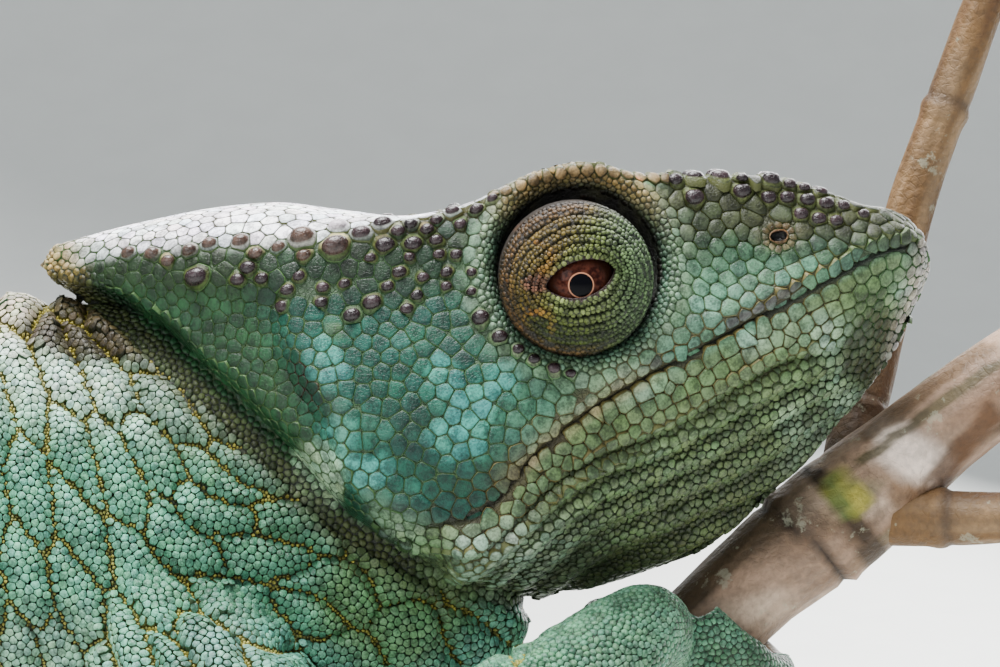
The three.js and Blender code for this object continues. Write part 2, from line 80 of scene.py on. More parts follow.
# ---- The body's lines -----------------------------------------------------------------------
HEAD_TOP = [
    [-36.4, 5.5], [-35.6, 6.9], [-33, 8.0], [-23, 10.2], [-16, 10.5], [-5, 8.9], [3, 9.4],
    [14, 11.6], [22, 12.0], [26, 11.2], [29, 10.3], [31.2, 9.9], [32.6, 9.1], [33.4, 7.9],
]
HEAD_CREST = [
    [-36.2, 5.3], [-29.6, 6.8], [-15, 7.5], [-8, 8.9], [-2.5, 10.4], [0.6, 11.8],
    [3.4, 12.8], [7, 13.4], [12, 12.7], [21.5, 12.4], [25.5, 11.5], [28.5, 10.3], [31, 9.7],
    [32.5, 8.8], [33.5, 7.75],
]
HEAD_CHEEK = [
    [-36, 5], [-29.6, 3.9], [-22.4, -0.1], [-14.4, -4.9], [-6.4, -7.3],
    [0, -5.9], [6.4, -3.4], [12.8, 0.2], [25.6, 5.9], [31.2, 8.3], [33.6, 7.5],
]
HEAD_MOUTH = [
    [-35.8, 4.7], [-29.6, 2.3], [-22.4, -3.3], [-14.4, -10.5], [-8, -14.5],
    [-1.6, -13.7], [3.2, -8.9], [8, -5.2], [16, -0.9], [26.6, 4.7], [30.5, 6.7], [33.8, 7.1],
]
HEAD_JAW = [
    [-35.6, 4.4], [-29.6, 1.7], [-22.4, -4.9], [-14.4, -12.9], [-8, -17.2],
    [-1.6, -18.1], [4.8, -14.9], [12.8, -8.5], [20.8, -4.1], [30.6, 3.2], [34.2, 6.0],
]
HEAD_THROAT = [
    [-35.2, 4], [-32.6, 1.9], [-26.5, -3.2], [-18.3, -10.6], [-13, -15.9], [-6.5, -19.7],
    [0, -21.3], [6.3, -20.7], [10.6, -19.5], [16, -17.7], [20.1, -14.5], [24, -10.8],
    [28, -6.3], [31.3, -2], [33.2, 2], [34.2, 4.8],
]
CREST_WIDTH = [
    [-37, 0.6], [-30, 5], [-22, 8.5], [-14, 10.4], [0, 10], [12, 7.8], [24, 5.3], [30, 3.6],
    [33, 1.8], [34.4, 0.7],
]
CHEEK_WIDTH = [
    [-37, 0.8], [-30, 6], [-22, 10.4], [-14, 13.8], [-3, 15.4], [6, 14.2], [18, 10.2],
    [27, 7.2], [32, 4.4], [33.8, 2.3], [34.6, 1.0],
]
MOUTH_SHARE, JAW_SHARE, FLAP_SHARE = 0.97, 0.89, 0.6
EYE = {"x": 5.9, "z": 4.7, "radius": 6.1, "reach": 18.6, "ball": 3.1, "forward": 4, "down": 5}

BACK = [
    [-2, -4], [-14, 2], [-26, 2.8], [-36, 2.9], [-48, 4.2], [-64, 4.6], [-84, 2.4],
    [-104, -2.8], [-124, -10.5], [-144, -21], [-158, -31],
]
BELLY = [
    [-2, -12], [2.2, -24], [-1, -30.5], [-12, -37.5], [-32, -43.2], [-56, -47.7], [-80, -52],
    [-104, -55.5], [-128, -56.5], [-145, -53], [-157, -46],
]
TRUNK_WIDTH = [
    [2, 6], [-12, 10.5], [-26, 12.2], [-42, 14.2], [-60, 17], [-84, 19.4], [-104, 19.4],
    [-124, 16.5], [-142, 12], [-158, 8],
]
TAIL_LEAD = [[-144, -36], [-160, -40.5], [-178, -51]]
COIL = {"x": -190, "z": -85, "start": 112, "turns": 2.15, "outer": 20.5, "inner": 6.2}
TAIL_RADIUS = [[0, 9.6], [0.12, 7.4], [0.3, 4.7], [0.55, 3.1], [0.8, 1.9], [1, 0.8]]

BRANCH = [
    [-163, 0, -97], [-140, 0, -93], [-100, 0, -84.5], [-60, 0, -74], [-30, 0.5, -62],
    [-8, 1.8, -47], [6, 3.4, -33.9], [15.7, 4.4, -24.9], [21.2, 4.8, -19.7], [29, 5, -13.4],
    [36, 5, -7.4], [44, 4.6, -1.6],
]
BRANCH_RADIUS = [[0, 5.8], [0.35, 5.2], [0.72, 4.4], [0.87, 4.3], [0.91, 4.9], [0.95, 4.1], [1, 3.8]]
LOW_SHOOT = [[29.4, 4.8, -14.6], [34, 3.2, -14.9], [40, 1.6, -14.8], [46, 0.6, -14.4]]
HIGH_SHOOT = [
    [28, 6.5, -12], [29.6, 10.8, -5.5], [31.8, 12.4, 3], [33.8, 12.8, 10.7], [36.7, 13, 19],
    [40.4, 13, 29],
]

# Each joint of a limb is [x, y, z, radius].
LIMBS = {
    "right_arm": {
        "side": -1, "station": 13.4, "lean": 72, "toes": (2, 3),
        "joints": [
            [-27, -7, -25, 8], [-19, -15.5, -32, 6.8], [-8.6, -21, -36.5, 5.2],
            [2.4, -16.5, -29.6, 5.4], [11.4, -9.6, -23, 4.2],
        ],
    },
    "left_arm": {
        "side": 1, "station": -13.5, "lean": 24, "toes": (2, 3),
        "joints": [
            [-27, 7, -25, 8], [-23, 15.5, -31, 6.8], [-28.5, 23, -40, 5.2],
            [-23.5, 17.5, -46, 5.2], [-18, 10, -47, 3.9],
        ],
    },
    "right_leg": {
        "side": -1, "station": -121, "lean": 26, "toes": (3, 2),
        "joints": [
            [-143, -5, -37, 9], [-134, -15, -43, 8], [-120, -24, -52, 5.8],
            [-123.5, -18, -64, 5.6], [-124, -8.6, -75.8, 4],
        ],
    },
    "left_leg": {
        "side": 1, "station": -93, "lean": 26, "toes": (3, 2),
        "joints": [
            [-143, 5, -37, 9], [-132, 15, -43, 8], [-112, 24, -50, 5.8],
            [-103.4, 18.5, -60.5, 5.6], [-97, 8.8, -69.6, 4],
        ],
    },
}
TOE = {"radius": 2.0, "tip": 1.3, "start": 8, "stop": 138, "claw": 26, "pitch": 3.1}
BUNDLE_SHIFT = (2.8, -2.8)
BUNDLE_SWEEP = (2.4, -2.4)
GAP = 0.35


# ---- Curves -----------------------------------------------------------------------------------
def slopes_of(knots, points):
    """Slope at each knot: the rise from the knot before to the knot after, over their distance."""
    i = np.arange(len(knots))
    low, high = np.maximum(i - 1, 0), np.minimum(i + 1, len(knots) - 1)
    return (points[high] - points[low]) / (knots[high] - knots[low])[:, None]


def hermite(knots, points, slopes, at):
    """The cubic in each span that has the knots' values and slopes at its ends, at any array."""
    at = np.clip(np.asarray(at, float), knots[0], knots[-1])
    i = np.clip(np.searchsorted(knots, at, side="right") - 1, 0, len(knots) - 2)
    h = (knots[i + 1] - knots[i])[..., None]
    t = (at - knots[i])[..., None] / h
    return cubic(points[i], points[i + 1], slopes[i], slopes[i + 1], t, h)


def through(points):
    """A smooth line through points, as a function of the share 0 to 1 of its chord length."""
    points = np.array(points, float)
    along = np.concatenate([[0], np.cumsum(np.linalg.norm(np.diff(points, axis=0), axis=1))])
    knots = along / along[-1]
    slopes = slopes_of(knots, points)
    return lambda t: hermite(knots, points, slopes, t)


def value_over(pairs):
    """A smooth value over x from [x, value] pairs in either direction."""
    pairs = np.array(sorted(pairs), float)
    slopes = slopes_of(pairs[:, 0], pairs[:, 1:])
    return lambda x: hermite(pairs[:, 0], pairs[:, 1:], slopes, x)[..., 0]


def step(low, high, x):
    """0 below low, 1 above high and a smooth s-curve between."""
    t = np.clip((x - low) / (high - low), 0, 1)
    return t * t * (3 - 2 * t)


def bump(x, centre, width):
    """A bell of height 1 round the centre that falls to 0.37 at the given width."""
    return np.exp(-(((x - centre) / width) ** 2))


def cubic(low, high, low_slope, high_slope, t, h):
    """The cubic over a span h wide, at the share t of it, with these values and slopes at its ends."""
    return (
        (1 + 2 * t) * (1 - t) ** 2 * low + t * (1 - t) ** 2 * h * low_slope
        + t * t * (3 - 2 * t) * high + t * t * (t - 1) * h * high_slope
    )


def unit(v):
    return v / np.maximum(np.linalg.norm(v, axis=-1, keepdims=True), 1e-12)


def line_distance(x, z, points):
    """Distance in side view from (x, z) to a polyline, and the share along it of the nearest point."""
    points = np.array(points, float)
    best = np.full(np.shape(x), 1e9)
    share = np.zeros(np.shape(x))
    for k in range(len(points) - 1):
        a, b = points[k], points[k + 1]
        d = b - a
        t = np.clip(((x - a[0]) * d[0] + (z - a[1]) * d[1]) / (d @ d), 0, 1)
        away = np.hypot(x - a[0] - t * d[0], z - a[1] - t * d[1])
        share = np.where(away < best, (k + t) / (len(points) - 1), share)
        best = np.minimum(best, away)
    return best, share


def hashed(i, j, k, salt):
    """A repeatable random number from 0 to 1 for each cell of a grid of integers."""
    h = (i * 374761393 + j * 668265263 + k * 2147483647 + salt * 974634777) & 0xFFFFFFFF
    h = ((h ^ (h >> 13)) * 1274126177) & 0xFFFFFFFF
    return ((h ^ (h >> 16)) & 0xFFFFFF) / float(0xFFFFFF)


def noise(p, size, salt=0):
    """Smooth noise from -1 to 1: random values at the corners of cubes, eased between them."""
    q = np.asarray(p, float) / size
    base = np.floor(q).astype(np.int64)
    f = q - base
    f = f * f * (3 - 2 * f)
    total = 0
    for dx in (0, 1):
        for dy in (0, 1):
            for dz in (0, 1):
                w = (
                    (f[..., 0] if dx else 1 - f[..., 0])
                    * (f[..., 1] if dy else 1 - f[..., 1])
                    * (f[..., 2] if dz else 1 - f[..., 2])
                )
                total = total + w * hashed(base[..., 0] + dx, base[..., 1] + dy, base[..., 2] + dz, salt)
    return 2 * total - 1


def side_view(x, z):
    """Places with y at 0, for noise that is the same on both sides."""
    return np.stack([x, 0 * x, z], -1)


def around(angle, along, wide, long, salt):
    """Noise over a tube: it repeats round it, and its length along it is given in mm."""
    return noise(np.stack([np.cos(angle) * wide, np.sin(angle) * wide, along / long], -1), 1.0, salt)


def mirrored(p):
    """The same point on the animal's left side, so that both sides carry the same pattern."""
    return np.stack([p[..., 0], np.abs(p[..., 1]), p[..., 2]], axis=-1)


# ---- Surfaces of the animal -------------------------------------------------------------------
HEAD_LINES = [through(p) for p in (HEAD_TOP, HEAD_CREST, HEAD_CHEEK, HEAD_MOUTH, HEAD_JAW, HEAD_THROAT)]
crest_width, cheek_width = value_over(CREST_WIDTH), value_over(CHEEK_WIDTH)
FLAP_EDGE = [
    [-17.5, 2], [-17, -1.2], [-15.5, -3.7], [-14, -6.2], [-12.8, -11.7], [-9.6, -14.3], [-4, -16.6],
]
NOSTRIL = (22.0, 7.8)
MOUTH_AT = 0.6  # where the mouth lies between the crown, 0, and the throat, 1


def head_half(u, v):
    """Half a head, crown (v=0) to throat (v=1): a smooth cubic through six lines that run from the
    casque's tip (u=0) to the snout (u=1), each at its own half width."""
    lines = [line(u) for line in HEAD_LINES]
    wide = [0 * u, crest_width(lines[1][:, 0])]
    jaw = FLAP_SHARE + (JAW_SHARE - FLAP_SHARE) * step(-19, -7, lines[4][:, 0])
    wide += [k * cheek_width(p[:, 0]) for k, p in zip((1, MOUTH_SHARE, jaw), lines[2:5])]
    wide.append(0 * u)
    knots = np.stack([np.stack([p[:, 0], w, p[:, 1]], -1) for p, w in zip(lines, wide)], 1)
    i = np.arange(6)
    share = i / 5
    low, high = np.maximum(i - 1, 0), np.minimum(i + 1, 5)
    slopes = (knots[:, high] - knots[:, low]) / (share[high] - share[low])[None, :, None]
    chord = np.linalg.norm(np.diff(knots, axis=1), axis=2)
    room = 2 * 5 * np.minimum(chord[:, low[1:5]], chord[:, 1:5])
    steep = np.linalg.norm(slopes[:, 1:5], axis=2)
    slopes[:, 1:5] *= np.minimum(1, room / np.maximum(steep, 1e-6))[..., None]
    zero = 0 * u
    slopes[:, 0] = np.stack([zero, 10 * knots[:, 1, 1], zero], -1)
    slopes[:, 1] *= 0.35
    slopes[:, 5] = np.stack([zero, -2.6 * knots[:, 4, 1], zero], -1)
    i = np.clip((v * 5).astype(int), 0, 4)
    t = (v * 5 - i)[None, :, None]
    return cubic(knots[:, i], knots[:, i + 1], slopes[:, i], slopes[:, i + 1], t, 0.2)


def orbit_share(x, z):
    """Distance from the middle of the eye's socket as a share of its radius, and height in it."""
    dx, dz = x - 6.2, z - 5.3
    away = np.hypot(dx, dz)
    return away / 6.9, dz / np.maximum(away, 1e-6)


def socket_share(p):
    """orbit_share of a place on the skin, with the crown between the brows counted as far outside."""
    away, high = orbit_share(p[..., 0], p[..., 2])
    brow = np.interp(p[..., 2], [9, 10, 11, 12], [4, 5.4, 7.1, 8.0])
    return away + 2 * step(0.4, -0.4, np.abs(p[..., 1]) - brow), high


LIP_X = [p[0] for p in HEAD_MOUTH[4:]]
LIP_Z = [p[1] for p in HEAD_MOUTH[4:]]


def under_lip(x, z):
    """How far below the mouth's line a place lies in side view."""
    return np.interp(x, LIP_X, LIP_Z) - z


def gular_furrow(x, z):
    """Distance in side view to the nearest furrow along the lower jaw, and how strongly they show."""
    drop = under_lip(x, z) + 0.9 * noise(side_view(x, z), 7, 5) - 0.09 * np.clip(x, 0, 30)
    turn = (drop - 3.4) / 2.3
    away = np.abs(turn - np.round(turn)) * 2.3 * 0.8
    return away, step(2.0, 3.0, drop) * step(31, 22, x) * step(-13, -6, x)


def head_relief(x, z, v):
    """How far the head stands out from its plain shape: a socket round the eye that is deep under
    the brow, a raised brow rim, the step from cheek to flap, the lips, folds and nostril."""
    away, high = orbit_share(x, z)
    upper = step(-0.6, 0.7, high)
    beside = step(0.15, 0.2, v)
    out = -(1.3 + 3.0 * upper) * beside * (1 - step(0.84, 1.06, away))
    out += (0.22 + 0.3 * upper) * beside * bump(away, 1.14, 0.1)
    edge_x, edge_z = zip(*FLAP_EDGE[::-1])
    behind = np.where(x < np.interp(z, edge_z, edge_x), 1, -1) * line_distance(x, z, FLAP_EDGE)[0]
    out -= 0.9 * step(-1.3, 1.3, behind) * step(5.5, 2, z)
    out += 0.35 * bump(behind, -1.6, 1.2) * step(3, -3, z)
    lips = step(-7, -3, x)
    out -= 0.5 * bump(v, MOUTH_AT, 0.006) * lips
    out += 0.08 * bump(v, MOUTH_AT + 0.022, 0.016) * lips
    away, share = gular_furrow(x, z)
    out += share * (0.28 * step(0.1, 1.1, away) - 0.5 * bump(away, 0, 0.3)) * step(0.62, 0.66, v)
    hole = np.hypot((x - NOSTRIL[0]) / 0.55, (z - NOSTRIL[1]) / 0.42)
    out += 0.3 * bump(hole, 2.2, 0.9)
    out -= 0.55 * bump(x, 19, 6) * bump(z, 6.2, 3)
    out += 0.5 * bump(x, -5.5, 5) * bump(z, -3.5, 5)
    return out + 0.14 * noise(side_view(x, z), 3.5, 9)


def head_surface(rows=170, half=78):
    """The head as rings of points: head_half, moved along its normals by head_relief."""
    u = (1 - np.cos(np.pi * (np.arange(rows) + 0.6) / (rows + 0.2))) / 2
    v = np.linspace(0, 1, half + 1)
    p = head_half(u, v)
    normal = unit(np.cross(np.gradient(p, axis=0), np.gradient(p, axis=1)))
    normal[:, 0] = [0, 0, 1]
    normal[:, -1] = [0, 0, -1]
    normal[:, 1:-1] *= np.sign(normal[:, half // 2, 1])[:, None, None]
    relief = head_relief(p[..., 0], p[..., 2], np.broadcast_to(v, p.shape[:2]))
    relief[:, :1] = relief[:, -1:] = 0
    relief = (relief - COAT_DEPTH) * (step(0, 0.06, u) * step(1, 0.96, u))[:, None]
    p = p + relief[..., None] * normal
    return np.concatenate([p * [1, -1, 1], p[:, ::-1][:, 1:-1]], axis=1)


back_line, belly_line, trunk_width = through(BACK), through(BELLY), value_over(TRUNK_WIDTH)


def trunk_surface(rows, sides):
    """Rings between the back's and the belly's line, narrowed towards the back into a low ridge."""
    u = (1 - np.cos(np.pi * (np.arange(rows) + 0.8) / (rows + 0.6))) / 2
    top, foot = back_line(u), belly_line(u)
    middle = top + (foot - top) * 0.54
    angle = 2 * np.pi * np.arange(sides) / sides
    up, out = np.cos(angle)[None, :], np.sin(angle)[None, :]
    end = np.where(up[..., None] > 0, top[:, None], foot[:, None])
    xz = middle[:, None] + (end - middle[:, None]) * np.abs(up)[..., None]
    power = np.where(up > 0, 1.35, 0.85)
    width = trunk_width(middle[:, 0])[:, None] - COAT_DEPTH
    y = -np.sign(out) * width * np.abs(out) ** power
    return np.stack([xz[..., 0], y, xz[..., 1] - COAT_DEPTH * up], axis=-1)


def coil_point(share):
    angle = np.radians(COIL["start"] + 360 * COIL["turns"] * share)
    radius = COIL["outer"] * (COIL["inner"] / COIL["outer"]) ** share
    return np.stack([COIL["x"] + radius * np.cos(angle), COIL["z"] + radius * np.sin(angle)], -1)


tail_flat = through(TAIL_LEAD + coil_point(np.arange(26) / 25).tolist())
tail_radius = value_over(TAIL_RADIUS)


def tail_line(t):
    flat = tail_flat(t)
    return np.stack([flat[..., 0], 0 * flat[..., 0], flat[..., 1]], -1)


branch_line, branch_radius = through(BRANCH), value_over(BRANCH_RADIUS)


def swept(line, radius, rows, sides, start=0.0, stop=1.0, rounded=0.0):
    """A round tube: rings across a line, each turned as little as possible from the one before.
    rounded closes the far end as a half ball over that share of the length."""
    t = start + (stop - start) * np.arange(rows + 1) / rows
    centre = line(t)
    ahead = unit(line(np.minimum(t + 0.004, 1)) - line(np.maximum(t - 0.004, 0)))
    across = np.empty_like(centre)
    last = np.array([0.0, 1.0, 0.0])
    for i, a in enumerate(ahead):
        last = unit(last - a * (a @ last))
        across[i] = last
    up = np.cross(ahead, across)
    size = radius(t)
    if rounded:
        size = size * np.sqrt(np.clip(1 - ((t - (stop - rounded)) / rounded).clip(0) ** 2, 0.03, 1))
    angle = 2 * np.pi * np.arange(sides) / sides
    ring = across[:, None] * np.cos(angle)[None, :, None] + up[:, None] * np.sin(angle)[None, :, None]
    return centre[:, None] + size[:, None, None] * ring


def grip_on_branch(station, lean, side):
    """Where a hand holds the branch: its middle, its direction, its radius there, and the way from
    the branch to the palm, leaned over from straight up by lean degrees towards the hand's side."""
    t = np.linspace(0, 1, 4001)
    best = t[np.argmin(np.abs(branch_line(t)[:, 0] - station))]
    at = branch_line(best)
    ahead = unit(branch_line(best + 0.01) - branch_line(best - 0.01))
    tilt = math.radians(lean)
    up = np.array([-ahead[2], 0, ahead[0]]) * math.cos(tilt) + np.array([0, side * math.sin(tilt), 0])
    return {"at": at, "ahead": ahead, "up": up, "radius": float(branch_radius(best))}


def toe_rings(grip, offset, sweep, turn, side, rows=14, sides=12, part="toe"):
    """A toe bent round the branch in an arc across it, or the claw that carries its curve on."""
    reach = grip["radius"] + TOE["radius"] + GAP
    out = np.cross(grip["ahead"], grip["up"]) * side
    stop = TOE["stop"] + turn
    t = np.linspace(0, 1, rows + 1)
    if part == "toe":
        degrees = TOE["start"] + (stop - TOE["start"]) * t
        knuckle = 1 + 0.05 * np.cos(3 * 2 * np.pi * t)
        size = (TOE["radius"] + (TOE["tip"] - TOE["radius"]) * t) * knuckle
        size *= np.sqrt(np.clip(1 - ((t - 0.93) / 0.075).clip(0) ** 2, 0.05, 1))
        away = np.full_like(t, reach)
    else:
        degrees = stop - 6 + (TOE["claw"] + 4) * t
        size = 0.78 * np.sqrt(np.clip(1 - t, 0, 1)) * (1 - 0.25 * t) + 0.1
        away = reach + 0.35 + 0.4 * t - 1.1 * t * t
    angle = np.radians(degrees)[:, None]
    radial = grip["up"] * np.cos(angle) + out * np.sin(angle)
    centre = (
        grip["at"] + grip["ahead"] * (offset + sweep * degrees / TOE["stop"])[:, None]
        + radial * away[:, None]
    )
    ring = 2 * np.pi * np.arange(sides) / sides
    over, out = np.cos(ring)[None, :, None], np.sin(ring)[None, :, None]
    return centre[:, None] + size[:, None, None] * (grip["ahead"] * over + radial[:, None] * out)


def toes_of(limb, part="toe"):
    """All toes of one hand or foot: two bundles that hold the branch from its two sides."""
    grip = grip_on_branch(limb["station"], limb["lean"], limb["side"])
    outward = 1 if np.sign(np.cross(grip["ahead"], grip["up"])[1]) == limb["side"] else -1
    rings = []
    for which, way in ((0, outward), (1, -outward)):
        count = limb["toes"][which]
        for i in range(count):
            place = i - (count - 1) / 2
            offset = BUNDLE_SHIFT[which] + place * TOE["pitch"]
            rings.append(toe_rings(grip, offset, BUNDLE_SWEEP[which], -6 * abs(place), way, part=part))
    return rings


def limb_line(limb):
    """A limb's middle line from its root to the palm, and its radius along it."""
    grip = grip_on_branch(limb["station"], limb["lean"], limb["side"])
    palm = grip["at"] + grip["up"] * (grip["radius"] + 3.4)
    joints = np.array(limb["joints"], float)
    line = through([*joints[:, :3].tolist(), palm.tolist()])
    t = np.linspace(0, 1, 401)
    near = [t[np.argmin(np.linalg.norm(line(t) - j[:3], axis=1))] for j in joints]
    return line, value_over([[a, j[3]] for a, j in zip(near, joints)] + [[1, 3.6]]), grip


def limb_shells(limb):
    line, radius, grip = limb_line(limb)
    muscle = lambda t: radius(t) * (1 + 0.06 * np.sin(4 * np.pi * t)) - COAT_DEPTH
    heel = grip["at"] + grip["up"] * (grip["radius"] + 3)
    palm = lambda t: heel + grip["ahead"] * 9 * (np.asarray(t)[..., None] - 0.5)
    pad = lambda t: 3.6 * np.sqrt(np.clip(1 - (2 * t - 1) ** 2, 0.05, 1))
    return swept(line, muscle, 40, 20), swept(palm, pad, 14, 16)


# ---- Mesh helpers -----------------------------------------------------------------------------
def grid_faces(rows, sides, closed=True, first=0):
    """Quads of a grid of rows x sides points; closed joins the last side to the first."""
    r = np.arange(rows - 1)[:, None]
    s = np.arange(sides if closed else sides - 1)[None, :]
    nxt = (s + 1) % sides
    quads = np.stack([r * sides + s, r * sides + nxt, (r + 1) * sides + nxt, (r + 1) * sides + s], -1)
    return quads.reshape(-1, 4) + first


def capped(rings):
    """A grid of rings closed at both ends on the middle of its end rings."""
    rows, sides = rings.shape[:2]
    points = np.concatenate([rings.reshape(-1, 3), rings[:1].mean(axis=1), rings[-1:].mean(axis=1)])
    s = np.arange(sides)
    nxt = (s + 1) % sides
    start = np.stack([np.full(sides, rows * sides), nxt, s], -1)
    last = (rows - 1) * sides
    stop = np.stack([np.full(sides, rows * sides + 1), last + s, last + nxt], -1)
    quads = grid_faces(rows, sides)
    if signed_volume(points, quads) < 0:
        quads, start, stop = quads[:, ::-1], start[:, ::-1], stop[:, ::-1]
    return points, quads, np.concatenate([start, stop])


def signed_volume(points, quads):
    a, b, c, d = (points[quads[:, k]] for k in range(4))
    return float(np.einsum("ij,ij->", a, np.cross(b, c)) + np.einsum("ij,ij->", a, np.cross(c, d)))


def mesh_from(name, points, quads, tris):
    """A mesh from arrays of millimetre points in the animal's frame and of quads and triangles."""
    mesh = bpy.data.meshes.new(name)
    world = (np.asarray(points) + ANIMAL_AT) * MM
    mesh.vertices.add(len(world))
    mesh.vertices.foreach_set("co", world.astype(np.float32).ravel())
    loops = np.concatenate([np.asarray(quads).ravel(), np.asarray(tris).ravel()]).astype(np.int32)
    sizes = np.concatenate([np.full(len(quads), 4), np.full(len(tris), 3)]).astype(np.int32)
    mesh.loops.add(len(loops))
    mesh.loops.foreach_set("vertex_index", loops)
    mesh.polygons.add(len(sizes))
    mesh.polygons.foreach_set("loop_start", np.concatenate([[0], np.cumsum(sizes)[:-1]]).astype(np.int32))
    mesh.polygons.foreach_set("loop_total", sizes)
    mesh.update(calc_edges=True)
    mesh.polygons.foreach_set("use_smooth", np.ones(len(sizes), bool))
    return mesh


def joined(shells):
    """Several (points, quads, tris) as one."""
    points, quads, tris, first = [], [], [], 0
    for p, q, t in shells:
        points.append(p)
        quads.append(np.asarray(q).reshape(-1, 4) + first)
        tris.append(np.asarray(t).reshape(-1, 3) + first)
        first += len(p)
    return np.concatenate(points), np.concatenate(quads), np.concatenate(tris)


def placed_object(name, mesh):
    piece = bpy.data.objects.new(name, mesh)
    bpy.context.scene.collection.objects.link(piece)
    return piece


def evaluated(piece, name):
    """The mesh that a piece's modifiers give, with the piece itself removed."""
    bpy.context.view_layer.update()
    graph = bpy.context.evaluated_depsgraph_get()
    mesh = bpy.data.meshes.new_from_object(piece.evaluated_get(graph), depsgraph=graph)
    mesh.name = name
    bpy.data.objects.remove(piece)
    return mesh


def remeshed(name, shells, voxel, smoothing):
    """Overlapping closed shells melted into one skin of even quads, then smoothed."""
    piece = placed_object(name, mesh_from(name, *joined(shells)))
    melt = piece.modifiers.new("melt", "REMESH")
    melt.mode, melt.voxel_size, melt.use_smooth_shade = "VOXEL", voxel * MM, True
    ease = piece.modifiers.new("ease", "SMOOTH")
    ease.factor, ease.iterations = 0.5, smoothing
    return evaluated(piece, name)


def united(name, meshes):
    """One closed skin from several closed meshes that overlap."""
    piece = placed_object(name, meshes[0])
    others = [placed_object(f"{name}_{i}", mesh) for i, mesh in enumerate(meshes[1:])]
    for other in others:
        union = piece.modifiers.new("union", "BOOLEAN")
        union.operation, union.solver, union.object = "UNION", "MANIFOLD", other
    whole = evaluated(piece, name)
    for other in others:
        bpy.data.objects.remove(other)
    return whole


def mesh_points(mesh):
    co = np.empty(len(mesh.vertices) * 3, np.float32)
    mesh.vertices.foreach_get("co", co)
    return co.reshape(-1, 3).astype(float) / MM - ANIMAL_AT


def mesh_triangles(mesh):
    mesh.calc_loop_triangles()
    tris = np.empty(len(mesh.loop_triangles) * 3, np.int32)
    mesh.loop_triangles.foreach_get("vertices", tris)
    return tris.reshape(-1, 3)


# ---- Folds of the neck ------------------------------------------------------------------------
def fold_slant(x, z):
    """Angle of the neck's long folds from straight down towards the head: steep on the shoulder,
    along the flap's edge beside it, and nearly level where they fan out below."""
    slant = 15 + 30 * bump(line_distance(x, z, [[-31, 1], [-14.3, -14], [-2, -24]])[0], 0, 6)
    return np.radians(slant + 62 * bump(np.hypot(x + 19.5, z + 18.5), 0, 7.5))


FOLD_LONG, FOLD_WIDE = 8.4, 3.0


def fold_offsets(x, z, centres):
    """From every point to every fold's middle, measured in fold lengths and fold widths. Under the
    corner of the jaw the folds are short, round lumps."""
    slant = fold_slant(x, z)
    lumps = bump(np.hypot(x + 8.5, z + 20.5), 0, 5.5)[:, None]
    down = np.stack([np.sin(slant), -np.cos(slant)], -1)
    over = np.stack([np.cos(slant), np.sin(slant)], -1)
    away = centres[None] - np.stack([x, z], -1)[:, None]
    along = np.einsum("nkc,nc->nk", away, down) / (FOLD_LONG + (0.9 * FOLD_WIDE - FOLD_LONG) * lumps)
    across = np.einsum("nkc,nc->nk", away, over) / FOLD_WIDE
    return along, across


def fold_middles():
    """Middles of the lens-shaped folds of the neck: random ones moved to the mean of their share."""
    rng = np.random.default_rng(SEED)
    x, z = np.meshgrid(np.arange(-66, 8, 0.6), np.arange(-50, 8, 0.6))
    x, z = x.ravel(), z.ravel()
    centres = rng.uniform([-66, -50], [8, 8], (190, 2))
    for _ in range(18):
        along, across = fold_offsets(x, z, centres)
        owner = np.argmin(along**2 + across**2, axis=1)
        count = np.bincount(owner, minlength=len(centres))
        mean = np.stack([np.bincount(owner, w, minlength=len(centres)) for w in (x, z)], -1)
        centres = np.where(count[:, None] > 0, mean / np.maximum(count, 1)[:, None], centres)
    return centres


FOLDS = fold_middles()


def furrow_distance(p):
    """Distance in side view to the nearest furrow between two folds of the neck."""
    x, z = p[..., 0].ravel(), p[..., 2].ravel()
    out = np.empty(len(x))
    for part in np.array_split(np.arange(len(x)), max(1, len(x) // 20000)):
        along, across = fold_offsets(x[part], z[part], FOLDS)
        size = along**2 + across**2
        two = np.argpartition(size, 1, axis=1)[:, :2]
        apart = lambda m: np.subtract(*np.take_along_axis(m, two, 1).T)
        slope = np.hypot(apart(along) / FOLD_LONG, apart(across) / FOLD_WIDE)
        out[part] = np.abs(apart(size)) / 2 / np.maximum(slope, 1e-6)
    return out.reshape(p.shape[:-1])


CREASE_X = [-37, -33, -26.5, -18.3, -13, -6.5, 0]
CREASE_Z = [3, 2.2, -2.9, -10.4, -15.6, -19.3, -21.6]


def on_head(p):
    """1 on the head, 0 on the body: which side of the crease under the flap a point lies."""
    crease = np.interp(p[..., 0], [*CREASE_X, 6.3, 16, 40], [*CREASE_Z, -21.4, -20, -20])
    crease = crease + 0.35 * np.clip(np.abs(p[..., 1]) - 4, 0, 9) * step(2, 6, p[..., 0])
    return step(-0.35, 0.25, p[..., 2] - crease) * step(-36.9, -36.2, p[..., 0])


def furrow_strength(p):
    """Where the neck's furrows show: all over the neck and shoulder, fading along the trunk."""
    neck = step(-62, -40, p[..., 0]) * (1 - on_head(p))
    return neck * step(-52, -40, p[..., 2]) * step(6, -2, p[..., 0])


def body_relief(p):
    """How far neck and body stand out from their smooth shape: a furrow between each two folds and
    a low crown on each fold."""
    away = furrow_distance(p)
    out = furrow_strength(p) * (0.55 * step(0.0, 1.5, away) - 0.34 * bump(away, 0, 0.3))
    return out + 0.12 * noise(p, 5, 3) * (1 - on_head(p))


# ---- The skin as arrays -----------------------------------------------------------------------
def vertex_normals(points, tris):
    face = np.cross(points[tris[:, 1]] - points[tris[:, 0]], points[tris[:, 2]] - points[tris[:, 0]])
    normals = np.zeros_like(points)
    for k in range(3):
        for axis in range(3):
            normals[:, axis] += np.bincount(tris[:, k], face[:, axis], minlength=len(points))
    return unit(normals)


